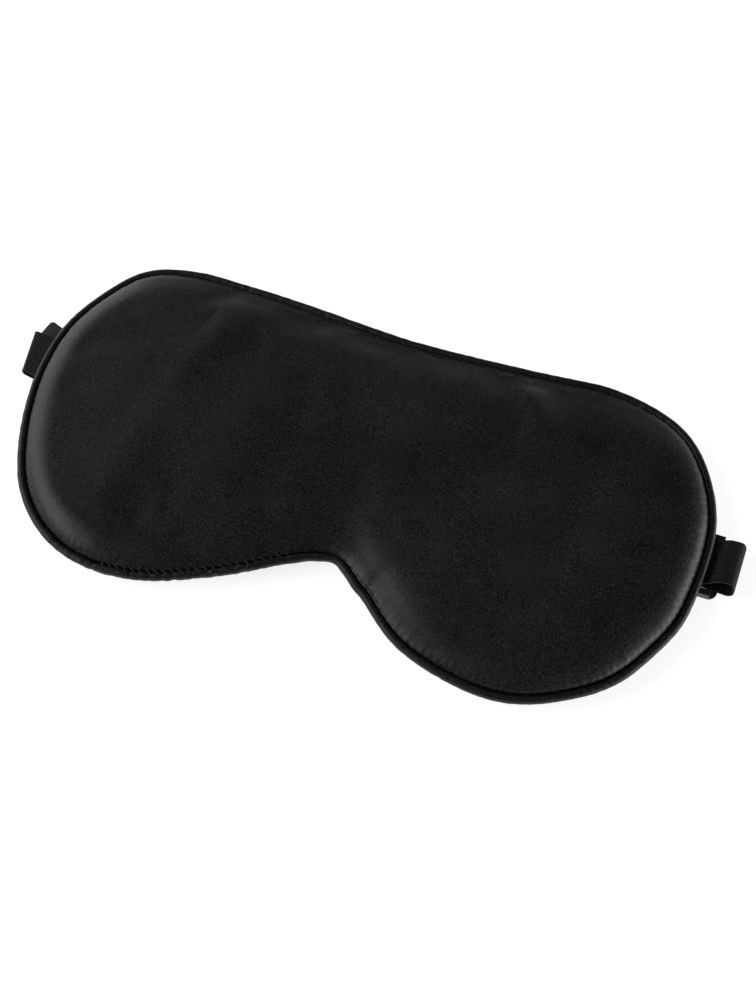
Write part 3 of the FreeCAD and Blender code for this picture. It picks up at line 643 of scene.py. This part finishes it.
def add_hem(points, faces, level):
    """Adds the seam allowance, which turns in under the edge, to a net's first ring."""
    edge, normals, _ = outline(NET_COUNT)
    made = [points]
    ring, total = range(NET_COUNT), len(points)
    for inset in np.linspace(SEAM_INSET, HEM_INSET, 4)[1:]:
        flat = edge - inset * normals
        made.append(np.column_stack([flat, np.full(NET_COUNT, level)]))
        new = range(total, total + NET_COUNT)
        for i in range(NET_COUNT):
            j = (i + 1) % NET_COUNT
            faces.append([ring[i], ring[j], new[j], new[i]])
        ring = new
        total += NET_COUNT
    return np.concatenate(made), faces


def turn_outwards(made):
    """Makes the faces of a mesh point outwards."""
    work = bmesh.new()
    work.from_mesh(made.data)
    bmesh.ops.recalc_face_normals(work, faces=work.faces[:])
    work.to_mesh(made.data)
    work.free()


def stuff(made, held, pressure, slack, cap, frames=24):
    """Cloth simulation of a cover with a little slack over its wadding.

    The seam is held fast and the rest is held loosely, as by the wadding. Each point's
    travel is eased so that it stays under the cap.
    """
    rest = coordinates(made.data)
    group = made.vertex_groups.new(name="held")
    for weight in (1.0, WADDING_HOLD):
        members = np.flatnonzero(held == (weight == 1.0))
        group.add([int(i) for i in members], weight, "REPLACE")
    cloth = made.modifiers.new("Cloth", "CLOTH")
    settings = cloth.settings
    settings.quality = 8
    settings.mass = 0.2
    settings.tension_stiffness = settings.compression_stiffness = 80
    settings.shear_stiffness = 32
    settings.bending_stiffness = 20
    settings.air_damping = 2
    settings.vertex_group_mass = group.name
    settings.shrink_min = -slack
    settings.use_pressure = True
    settings.uniform_pressure_force = pressure
    settings.effector_weights.gravity = 0
    cloth.point_cache.frame_start, cloth.point_cache.frame_end = 1, frames
    for step in range(1, frames + 1):
        bpy.context.scene.frame_set(step)
    graph = bpy.context.evaluated_depsgraph_get()
    settled = coordinates(made.evaluated_get(graph).data)
    made.modifiers.clear()
    made.vertex_groups.clear()
    bpy.context.scene.frame_set(1)
    travel = settled - rest
    far = np.linalg.norm(travel, axis=1, keepdims=True)
    move_points(made.data, rest + travel * cap / (cap + far))


def seam_relief(place, along, depth):
    """Dimples at the stitches and soft gathers that run in from the seam."""
    near = np.exp(-depth / (1.5 * MM))
    stitch = (0.5 - 0.5 * np.cos(2 * math.pi * along / STITCH_PITCH)) ** 2
    relief = -0.16 * MM * near * (1 - stitch)
    gather = np.array([noise.noise(Vector((a / (3.6 * MM), d / (9 * MM), place)))
                       for a, d in zip(along, depth, strict=True)])
    swell = np.array([noise.noise(Vector((a / (38 * MM), 1.5, place))) for a in along])
    strength = 0.09 + 0.09 * np.clip(swell + 0.3, 0, 1)
    return relief + strength * MM * gather * np.exp(-((depth / (5.5 * MM)) ** 2))


def waves(points, size, shift=0):
    """Smooth noise at some points, with swells of about a size."""
    moved = Vector((shift, shift, shift))
    return np.array([noise.noise(Vector(p) / size + moved) for p in points])


def unevenness(points):
    """The slight waviness of cloth over wadding."""
    return 0.22 * MM * waves(points, 26 * MM) + 0.035 * MM * waves(points, 9 * MM, 5)


def wrinkle(made, place):
    """Moves the points of a cover along their normals by its waves, gathers and dimples."""
    points = coordinates(made.data)
    normals = vertex_normals(made.data)
    inset, along = locate(points[:, :2])
    depth = np.maximum(inset - SEAM_INSET, 0)
    outer = smooth_step(0.0, 0.2, normals[:, 2] * place)
    relief = seam_relief(place, along, depth)
    inward = smooth_step(0, 10 * MM, depth)
    relief += unevenness(points) * inward
    points += normals * (relief * outer)[:, None]
    points[:, 2] = np.maximum(points[:, 2], 0)
    move_points(made.data, points)


def cover(name, height, width, seam, place):
    """A satin cover: stuffed, with a turned-in hem. Place is 1 for the front, -1 for the back."""
    flat, inset, faces = net(SEAM_INSET, width)
    points = np.column_stack([flat, height(flat, inset)])
    normals = outline(NET_COUNT)[1]
    for k, bulge in enumerate(RIM_BULGE):
        ring = points[k * NET_COUNT : (k + 1) * NET_COUNT]
        ring[:, :2] += bulge * width / TOP_SHOULDER * normals
    points[:NET_COUNT, 2] += place * RIM_LIFT
    points, faces = add_hem(points, faces, seam - place * 0.05 * MM)
    made = add_mesh(name, points, faces, SATIN)
    turn_outwards(made)
    if vertex_normals(made.data)[len(flat) - 1, 2] * place < 0:
        made.data.flip_normals()
    held = np.ones(len(points), bool)
    held[: len(flat)] = inset < SEAM_INSET + 0.2 * MM
    if place < 0:
        held |= np.abs(points[:, 1] - STRAP_MIDDLE) < CHANNEL_EDGE
        held |= points[:, 2] < 0.4 * MM
    stuff(made, held, pressure=3.0, slack=0.003, cap=0.45 * MM)
    subdivide(made, 2)
    wrinkle(made, place)
    thicken(made, SKIN)
    return made


def layer(name, top, bottom, start, width, material):
    """A closed flat piece with a top and a bottom height and a rounded rim."""
    flat, inset, faces = net(start, width)
    rim = NET_COUNT
    upper, lower = top(flat, inset), bottom(flat, inset)
    upper[:rim] = lower[:rim] = (upper[:rim] + lower[:rim]) / 2
    upper[rim:] = lower[rim:] + np.maximum(upper - lower, 0.1 * MM)[rim:]
    over = np.column_stack([flat, upper])
    points = np.concatenate([over, np.column_stack([flat[rim:], lower[rim:]])])
    under = [[i if i < rim else i + len(flat) - rim for i in face[::-1]] for face in faces]
    made = add_mesh(name, points, faces + under, material)
    turn_outwards(made)
    return made


def fluff(made, amount):
    """Gives wadding an uneven surface."""
    points, normals = coordinates(made.data), vertex_normals(made.data)
    lumps = waves(points, 7 * MM)
    move_points(made.data, points + normals * (amount * (lumps - 0.3))[:, None])


def front_wadding():
    """The wadding behind the front cover."""
    def top(points, inset):
        return front_height(points, inset - PAD_INSET, -FRONT_PAD_GAP)

    def bottom(points, inset):
        return FRONT_PAD_LOW + 0.5 * MM * (inset < HEM_INSET)

    made = layer("front_pad", top, bottom, SEAM_INSET + 0.9 * MM, TOP_SHOULDER, WADDING)
    fluff(made, 0.25 * MM)
    return made


def back_wadding():
    """The thinner wadding behind the back cover."""
    def top(points, inset):
        return BACK_PAD_HIGH - 0.9 * MM * (inset < HEM_INSET)

    def bottom(points, inset):
        return back_height(points, inset - PAD_INSET, BACK_PAD_GAP)

    made = layer("back_pad", top, bottom, SEAM_INSET + 2.0 * MM, BACK_SHOULDER, WADDING)
    fluff(made, 0.15 * MM)
    return made


def blackout_sheet():
    """The light-tight cloth between the two layers of wadding, caught in the seam."""
    def top(points, inset):
        return LINING_LEVEL - 0.1 * MM * smooth_step(12 * MM, 6 * MM, inset)

    def bottom(points, inset):
        return top(points, inset) - LINING_THICK

    return layer("blackout_sheet", top, bottom, SEAM_INSET + 0.2 * MM, 6 * MM, LINING)


# ---- piping

TUBE_SIDES = 22
TUBE_SECTIONS = 1500
TAIL_LOW = 5.37 * MM
TAIL_HIGH = 5.6 * MM
TAIL_START = 4.5 * MM
TAIL_END = 7.6 * MM
TWINE_RADIUS = 0.9 * MM
TWINE_SIDES = 12
TWINE_SECTIONS = 900
TWINE_LAY = 9 * MM


def sweep(name, section, count, material, relief=None):
    """A closed section carried round the outline. The section is (inset, level) pairs."""
    edge, normals, along = outline(count)
    section = np.array(section)
    size = len(section)
    inset = np.broadcast_to(section[:, 0], (count, size)).copy()
    level = np.broadcast_to(section[:, 1], (count, size)).copy()
    if relief is not None:
        inset, level = relief(inset, level, along)
    flat = edge[:, None, :] - inset[:, :, None] * normals[:, None, :]
    points = np.concatenate([flat, level[:, :, None]], axis=2).reshape(-1, 3)
    made = add_mesh(name, points, strip(count, size, closed=True), material)
    turn_outwards(made)
    return made


def round_section(radius, angles):
    """A round section about the middle of the piping."""
    inset, level = EDGE_INSET, PIPING_LEVEL
    return [(inset - radius * math.cos(a), level + radius * math.sin(a)) for a in angles]


def piping_relief(inset, level, along):
    """Small creases across the piping, deepest beside the seam, and a slight unevenness."""
    out, up = EDGE_INSET - inset, level - PIPING_LEVEL
    reach = np.hypot(out, up)
    angle = np.arctan2(up, out)
    factor = np.ones_like(reach)
    first, last = (share * OUTLINE_LENGTH for share in CLOSING_SPAN)
    closed = smooth_step(first - 12 * MM, first + 12 * MM, along)
    closed *= 1 - smooth_step(last - 5 * MM, last + 25 * MM, along)
    for i, place in enumerate(along):
        swell = noise.noise(Vector((place / (9 * MM), 0.5, 0.0)))
        crease = max(noise.noise(Vector((place / (1.7 * MM), 3.5, 0.0))), 0)
        gathered = closed[i] + 0.2 + 0.2 * noise.noise(Vector((place / (30 * MM), 9.5, 0.0)))
        for j in range(reach.shape[1]):
            lean = angle[i, j] * 0.7 * MM
            fine = noise.noise(Vector(((place + lean) / (2.0 * MM), angle[i, j] * 0.6, 7.0)))
            seamward = 0.5 - 0.5 * math.cos(angle[i, j])
            depth = crease * (0.2 + gathered) * (0.12 + 0.28 * seamward)
            factor[i, j] = 1 + 0.03 * swell + 0.13 * (0.2 + gathered) * fine - depth
    factor = np.where(reach < PIPING_RADIUS * 1.05, factor, 1.0)
    return EDGE_INSET - out * factor, PIPING_LEVEL + up * factor


def piping_tube():
    """The satin that covers the cord round the edge, with the tail caught in the seam."""
    turn = np.linspace(math.radians(174), math.radians(-174), TUBE_SIDES)
    section = round_section(PIPING_RADIUS, turn)
    section += [(TAIL_START, TAIL_LOW), (TAIL_END, TAIL_LOW)]
    section += [(TAIL_END, TAIL_HIGH), (TAIL_START, TAIL_HIGH)]
    return sweep("piping_tube", section, TUBE_SECTIONS, PIPING, piping_relief)


def twine_relief(inset, level, along):
    """Three strands twisted together."""
    out, up = EDGE_INSET - inset, level - PIPING_LEVEL
    angle = np.arctan2(up, out) - 2 * math.pi * along[:, None] / TWINE_LAY
    factor = 0.80 + 0.20 * np.abs(np.cos(1.5 * angle))
    return EDGE_INSET - out * factor, PIPING_LEVEL + up * factor


def piping_twine():
    """The filler cord inside the piping."""
    turn = np.linspace(0, 2 * math.pi, TWINE_SIDES, endpoint=False)
    section = round_section(TWINE_RADIUS, turn)
    return sweep("piping_twine", section, TWINE_SECTIONS, TWINE, twine_relief)


# ---- stitches

# A stitch's ends are an inset, a level and how far along the edge each stands from the middle.
LOCK_RADIUS = 0.15 * MM
LOCK_HALF = 0.42 * STITCH_PITCH
LOCK_ENDS = [(3.3 * MM, 6.6 * MM, -LOCK_HALF), (3.3 * MM, 6.6 * MM, LOCK_HALF)]
CLOSING_SPAN = (0.516, 0.615)
CLOSING_PITCH = 2.4 * MM
CLOSING_RADIUS = 0.19 * MM
CLOSING_SWAY = 0.9
CLOSING_ENDS = [(1.8 * MM, 6.55 * MM, -0.7 * MM), (3.0 * MM, 6.75 * MM, 0.6 * MM)]


def capsule(start, end, radius, turns=8, rings=4):
    """Points and faces of a straight bit of thread with rounded ends."""
    run = end - start
    length = run.length
    run /= length
    side = run.orthogonal().normalized()
    other = run.cross(side)
    profile = [(-radius * math.cos(a), radius * math.sin(a))
               for a in np.linspace(0, math.pi / 2, rings + 1)]
    profile += [(length - along, out) for along, out in profile[::-1]]
    points = []
    for along, out in profile:
        out = max(out, 0.02 * radius)
        for k in range(turns):
            angle = 2 * math.pi * k / turns
            spoke = side * math.cos(angle) + other * math.sin(angle)
            points.append(start + run * along + spoke * out)
    return points, strip(len(profile), turns)


def stitch_row(name, span, pitch, ends, radius, sway, material):
    """Stitches along a span of the outline, given as shares of its length."""
    edge, normals, along = outline(round(OUTLINE_LENGTH / (0.25 * MM)))
    points, faces = [], []
    first, last = (share * OUTLINE_LENGTH for share in span)
    for place in np.arange(first, last, pitch):
        drift = 1 + sway * noise.noise(Vector((place / (2.1 * MM), 0.3, 0.8)))
        corners = []
        for inset, level, shift in ends:
            at = int(np.argmin(np.abs(along - place - shift * drift)))
            corners.append(Vector((*(edge[at] - normals[at] * inset), level)))
        new, sides = capsule(*corners, radius)
        faces += [[i + len(points) for i in side] for side in sides]
        points += new
    made = add_mesh(name, points, faces, material)
    turn_outwards(made)
    return made


def seam_stitches():
    """The lock stitches of the main seam, on the front allowance inside the cover."""
    return stitch_row("seam_stitches", (0, 1), STITCH_PITCH, LOCK_ENDS, LOCK_RADIUS, 0.0, THREAD)


def whip_stitches():
    """Hand stitches that close the edge at the lower left, from the piping to the cover."""
    # The thread's lighter colour is a painted highlight.
    thread = (CLOSING_RADIUS, CLOSING_SWAY, HIGHLIT_THREAD)
    return stitch_row("whip_stitches", CLOSING_SPAN, CLOSING_PITCH, CLOSING_ENDS, *thread)


# ---- elastic

LEFT, RIGHT = -1, 1
RING_LOW, RING_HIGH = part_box("strap_ring")
TAB_LOW, TAB_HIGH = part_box("strap_tab")
RETURN_LOW, RETURN_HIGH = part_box("strap_return")
SEWN_LEVEL = BAND_HIGH.z - BAND_THICK / 2
LOWER_LEVEL = BAND_LOW.z + BAND_THICK / 2
UPPER_LEVEL = RETURN_HIGH.z - BAND_THICK / 2
DIP_LEVEL = 3.65 * MM
CREST_LEVEL = 5.5 * MM
HALF_WIDTH = EDGE_HIGH.x
RUN_STEP = 3.0 * MM
TURN_STEP = math.radians(5)
SPLIT = 99.0 * MM
RING_BAR = 2.0 * MM
BAR_TURN = 0.9 * MM

# The folded corner: its flat outline in millimetres, and its section as how far each ring
# draws in and its level, both as shares of half its thickness.
TAB_CORNER = [(-112.6, 15.0), (-111.0, 23.0), (-99.5, 18.6), (-99.0, 8.0), (-110.0, 8.0)]
TAB_CORNER_SECTION = [(1.0, 1.0), (0.3, 0.7), (0.0, 0.0), (0.3, -0.7), (1.0, -1.0)]
TAB_CORNER_RADIUS = 1.7 * MM
TAB_CORNER_THICK = 0.6 * MM
TAB_CORNER_LEVEL = 2.05 * MM


def band_section():
    """The band's cross-section: cords along both faces and rounded selvages."""
    half = BAND_WIDTH / 2
    flat = half - BAND_THICK / 2
    across = np.arange(-flat, flat + 1e-9, 2 * flat / 100)
    inner = smooth_step(0, 0.2 * MM, half - SELVAGE - np.abs(across))
    groove = CORD_DEPTH * inner * (0.5 - 0.5 * np.cos(2 * math.pi * across / CORD_PITCH))
    height = BAND_THICK / 2 - groove
    turn = np.linspace(math.pi / 2, -math.pi / 2, 7)[1:-1]
    end = np.column_stack([flat + BAND_THICK / 2 * np.cos(turn), BAND_THICK / 2 * np.sin(turn)])
    top = np.column_stack([across, height])
    return np.concatenate([top, end, -top, -end])


def band_path(corners):
    """Points along straight runs joined by arcs, from (x, level, bend radius) corners."""
    points = [np.array(corners[0][:2])]
    for before, corner, after in zip(corners, corners[1:], corners[2:]):
        here, radius = np.array(corner[:2]), corner[2]
        into = here - np.array(before[:2])
        onward = np.array(after[:2]) - here
        into, onward = into / np.linalg.norm(into), onward / np.linalg.norm(onward)
        turn = math.acos(np.clip(into @ onward, -1, 1))
        cut = radius * math.tan(turn / 2)
        side = 1 if into[0] * onward[1] - into[1] * onward[0] > 0 else -1
        centre = here - into * cut + side * radius * np.array([-into[1], into[0]])
        spoke = here - into * cut - centre
        steps = max(2, math.ceil(turn / TURN_STEP))
        for angle in np.linspace(0, side * turn, steps + 1):
            c, s = math.cos(angle), math.sin(angle)
            points.append(centre + np.array([spoke[0] * c - spoke[1] * s,
                                             spoke[0] * s + spoke[1] * c]))
    points.append(np.array(corners[-1][:2]))
    filled = [points[0]]
    for here, after in zip(points, points[1:]):
        length = np.linalg.norm(after - here)
        if length < 1e-7:
            continue
        steps = max(1, round(length / RUN_STEP))
        filled += [here + (after - here) * k / steps for k in range(1, steps + 1)]
    return np.array(filled)


def band(name, corners, warp=None):
    """A length of elastic along a path, with its place on the band kept for the material."""
    path = band_path(corners)
    section = band_section()
    steps = np.diff(path, axis=0)
    lengths = np.linalg.norm(steps, axis=1)
    along = np.concatenate([[0], np.cumsum(lengths)])
    runs = steps / lengths[:, None]
    tangent = np.concatenate([runs[:1], runs[1:] + runs[:-1], runs[-1:]])
    tangent /= np.linalg.norm(tangent, axis=1, keepdims=True)
    lift = np.column_stack([-tangent[:, 1], tangent[:, 0]])
    size, count = len(section), len(path)
    points = np.zeros((count, size, 3))
    points[:, :, 0] = path[:, :1] + lift[:, :1] * section[:, 1]
    points[:, :, 1] = STRAP_MIDDLE + section[:, 0]
    points[:, :, 2] = path[:, 1:] + lift[:, 1:] * section[:, 1]
    points = points.reshape(-1, 3)
    if warp is not None:
        points = warp(points)
    made = add_mesh(name, points, strip(count, size), ELASTIC)
    turn_outwards(made)
    ribbon = np.zeros((count, size, 3), np.float32)
    ribbon[:, :, 0] = section[:, 0] / MM
    ribbon[:, :, 1] = along[:, None] / MM
    kept = made.data.attributes.new("ribbon", "FLOAT_VECTOR", "POINT")
    kept.data.foreach_set("vector", ribbon.ravel())
    return made, float(along[-1])


def sewn_end(side):
    """Corners of a sewn strap end: flat in the seam, then down to pass under the piping."""
    return [
        (side * (HALF_WIDTH - 7.5 * MM), SEWN_LEVEL, 0),
        (side * (HALF_WIDTH - 4.7 * MM), SEWN_LEVEL, 0.9 * MM),
        (side * (HALF_WIDTH - 2.4 * MM), DIP_LEVEL, 0.9 * MM),
    ]


def half_turn(middle, start, end):
    """Corners of a half turn from one level to another."""
    radius = abs(end - start) / 2
    return [(middle, start, radius), (middle, end, radius)]


def left_warp(points):
    """The left loop's fold lies aslant and a little higher than its sewn end."""
    x, y, z = points.T
    share = smooth_step(HALF_WIDTH - 1 * MM, -TAB_LOW.x, -x)
    lean = (TAB_HIGH.y - y) / BAND_WIDTH * 2.6 * MM - 0.4 * MM
    return np.column_stack([x + share * lean, y + 0.8 * MM * share, z])


def right_warp(points):
    """The right loop droops towards the near side and its crest is a little higher there."""
    x, y, z = points.T
    share = smooth_step(HALF_WIDTH - 3 * MM, BAND_HIGH.x, x)
    near = (BAND_HIGH.y - y) / BAND_WIDTH
    top = smooth_step(LOWER_LEVEL + 1 * MM, CREST_LEVEL, z)
    droop = share * (1.2 * top - 0.5) * MM
    return np.column_stack([x, y + droop, z + 0.9 * MM * share * near * top])


def left_loop():
    """The left tab from its seam round its fold to the lower layer."""
    corners = sewn_end(LEFT)
    corners += half_turn(TAB_LOW.x + BAND_THICK / 2, DIP_LEVEL, LOWER_LEVEL)
    corners.append((-SPLIT, LOWER_LEVEL, 0))
    return band("tab_loop", corners, left_warp)


def left_tail():
    """The rest of the left tab, round the outer bar of the ring and back."""
    turn = RING_LOW.x + RING_BAR + BAR_TURN
    corners = [(-SPLIT, LOWER_LEVEL, 0)]
    corners += half_turn(turn, LOWER_LEVEL, UPPER_LEVEL)
    corners.append((-HALF_WIDTH + 2.4 * MM, UPPER_LEVEL, 0))
    return band("tab_tail", corners)


def right_loop():
    """The long elastic from its seam over its crest and round its fold."""
    corners = sewn_end(RIGHT)
    corners.append((HALF_WIDTH + 0.6 * MM, DIP_LEVEL, 1.4 * MM))
    corners.append((HALF_WIDTH + 4.3 * MM, CREST_LEVEL, 3.0 * MM))
    corners += half_turn(BAND_HIGH.x - BAND_THICK / 2, CREST_LEVEL, LOWER_LEVEL)
    corners.append((SPLIT, LOWER_LEVEL, 0))
    return band("band_loop", corners, right_warp)


def lower_run():
    """The long elastic across the back and round the inner bar of the ring."""
    corners = [(SPLIT, LOWER_LEVEL, 0)]
    corners += half_turn(RING_HIGH.x - RING_BAR - BAR_TURN, LOWER_LEVEL, UPPER_LEVEL)
    corners.append((RETURN_LOW.x, UPPER_LEVEL, 0))
    return band("band_run", corners)


def rounded_corners(corners, radius, steps=8):
    """A closed flat outline with each corner rounded."""
    made = []
    for before, here, after in zip(corners[-1:] + corners[:-1], corners,
                                   corners[1:] + corners[:1], strict=True):
        before, here, after = (Vector(p) * MM for p in (before, here, after))
        start = here + (before - here).normalized() * radius
        end = here + (after - here).normalized() * radius
        for k in range(steps + 1):
            t = k / steps
            made.append((1 - t) ** 2 * start + 2 * t * (1 - t) * here + t * t * end)
    return np.array([tuple(p) for p in made])


def tab_corner():
    """The cut end of the left tab, folded askew inside its loop, smooth side up."""
    edge = rounded_corners(TAB_CORNER, TAB_CORNER_RADIUS)
    centre = edge.mean(axis=0)
    rings = []
    half = TAB_CORNER_THICK / 2
    for shrink, level in TAB_CORNER_SECTION:
        away = edge - centre
        away *= 1 - shrink * half / np.linalg.norm(away, axis=1, keepdims=True)
        rings.append(np.column_stack([centre + away, np.full(len(edge), level * half)]))
    points = np.concatenate(rings)
    points[:, 2] += TAB_CORNER_LEVEL + 0.25 * MM * np.sin((points[:, 1] - 8 * MM) / (6 * MM))
    made = add_mesh("tab_corner", points, strip(len(rings), len(edge)), SMOOTH_ELASTIC)
    turn_outwards(made)
    size = edge.max(axis=0) - edge.min(axis=0)
    return made, tuple(float(v) for v in size)


def returning_run():
    """The long elastic coming back to the slider, hooked over its middle bar."""
    hook = RETURN_HIGH.x - BAND_THICK / 2
    corners = [
        (RETURN_LOW.x, UPPER_LEVEL, 0),
        (hook, UPPER_LEVEL, 0.5 * MM),
        (hook, RETURN_LOW.z, 0),
    ]
    return band("band_return", corners)


# ---- studio


def aim(thing, target):
    """Turns a camera or lamp to look at a point."""
    back = thing.location - Vector(target)
    thing.rotation_mode = "QUATERNION"
    thing.rotation_quaternion = (-back).to_track_quat("-Z", "Y")


def add_camera():
    """The camera, at the angle that the object is seen from."""
    azimuth, elevation = math.radians(CAMERA_AZIMUTH), math.radians(CAMERA_ELEVATION)
    flat = math.cos(elevation)
    back = Vector((math.sin(azimuth) * flat, -math.cos(azimuth) * flat, math.sin(elevation)))
    camera = add_object("camera", bpy.data.cameras.new("camera"))
    camera.data.lens = CAMERA_LENS
    camera.data.clip_start = 0.01
    camera.location = Vector(AIM) + CAMERA_DISTANCE * back
    aim(camera, AIM)
    bpy.context.scene.camera = camera


def add_softbox(name, azimuth, elevation, size, watts):
    """A large rectangular studio light, which looks at the mask and isn't seen itself."""
    azimuth, elevation = math.radians(azimuth), math.radians(elevation)
    flat = BOX_DISTANCE * math.cos(elevation)
    lamp = bpy.data.lights.new(name, "AREA")
    lamp.shape = "RECTANGLE"
    lamp.size, lamp.size_y = size
    lamp.energy = watts
    made = add_object(name, lamp)
    height = BOX_DISTANCE * math.sin(elevation)
    made.location = (flat * math.cos(azimuth), flat * math.sin(azimuth), height)
    made.visible_camera = False
    aim(made, (0, 0, 0))


def add_world(seen, lighting):
    """A plain white backdrop that lights the object less than it shows."""
    world = bpy.data.worlds.new("studio")
    world.use_nodes = True
    bpy.context.scene.world = world
    nodes, links = world.node_tree.nodes, world.node_tree.links
    path = nodes.new("ShaderNodeLightPath")
    level = nodes.new("ShaderNodeMapRange")
    level.inputs["To Min"].default_value = lighting
    level.inputs["To Max"].default_value = seen
    links.new(path.outputs["Is Camera Ray"], level.inputs["Value"])
    links.new(level.outputs["Result"], nodes["Background"].inputs["Strength"])
    nodes["Background"].inputs["Color"].default_value = (1, 1, 1, 1)


def add_floor():
    """A plain pale floor. It stays under the strap when the mask is lifted off it."""
    shader = Shader("floor")
    mottle = shader.noise(shader.place, scale=30, detail=2.0)
    shader.set(Base_Color=shader.blend(mottle, (0.86,) * 3, (0.88,) * 3), Roughness=0.9)
    shader.set(Specular_IOR_Level=0.1, Emission_Color=(1, 1, 1), Emission_Strength=FLOOR_GLOW)
    half = FLOOR_SIZE / 2
    corners = [(-half, -half), (half, -half), (half, half), (-half, half)]
    points = [(x, y, -FLOOR_DROP) for x, y in corners]
    floor = add_mesh("floor", points, [(0, 1, 2, 3)], shader.material)
    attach(floor, "strap")


def studio():
    """Camera, backdrop, floor and the three softboxes that draw the bands of light."""
    add_camera()
    add_world(BACKDROP_SEEN, BACKDROP_LIGHT)
    add_floor()
    for name, azimuth, elevation, size, watts in SOFTBOXES:
        add_softbox(name, azimuth, elevation, size, watts)
    bpy.context.scene.view_settings.view_transform = "Standard"


# ---- the whole


def fit(piece, node):
    """Puts a piece on the mask in place of a CAD node."""
    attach(piece, "mask")
    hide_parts(node)
    return piece


def padded_parts():
    """The covers, the wadding and the lining between them."""
    front = cover("satin_front", front_height, TOP_SHOULDER, FRONT_SEAM, 1)
    back = cover("satin_back", back_height, BACK_SHOULDER, BACK_SEAM, -1)
    fit(front, "front_cover")
    fit(back, "back_cover")
    fit(front_wadding(), "padding_front")
    fit(back_wadding(), "padding_back")
    lining = fit(blackout_sheet(), "blackout_lining")


def edge_parts():
    """The piping, its filler cord and the stitches along the edge."""
    fit(piping_tube(), "piping_cover")
    fit(piping_twine(), "piping_cord")
    fit(seam_stitches(), "seam_thread")
    fit(whip_stitches(), "closing_stitches")


def strap_parts():
    """The elastic: two loops that reach from the mask to the strap, and the rest of it."""
    top, low = (0, 0, DIP_LEVEL - 0.45 * MM), (0, 0, LOWER_LEVEL + 0.4 * MM)
    for make, node in ((left_loop, "strap_tab"), (right_loop, "strap_band")):
        made, length = make()
        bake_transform(made)
        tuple(top)
        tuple(low)
        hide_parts(node)
    for make in (left_tail, lower_run):
        made, length = make()
        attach(made, "strap")
    made, flat = tab_corner()
    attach(made, "strap")
    made, length = returning_run()
    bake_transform(made)
    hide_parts("strap_return")


def dress(names, material):
    """Gives CAD nodes that keep their shape a finished material."""
    for name in names:
        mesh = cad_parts[name].data
        mesh.materials.clear()
        mesh.materials.append(material)


studio()
padded_parts()
edge_parts()
strap_parts()
dress(["strap_ring", "strap_slider"], NYLON)
dress(["left_strap_tack", "right_strap_tack", "tab_stitches", "return_stitches"], THREAD)
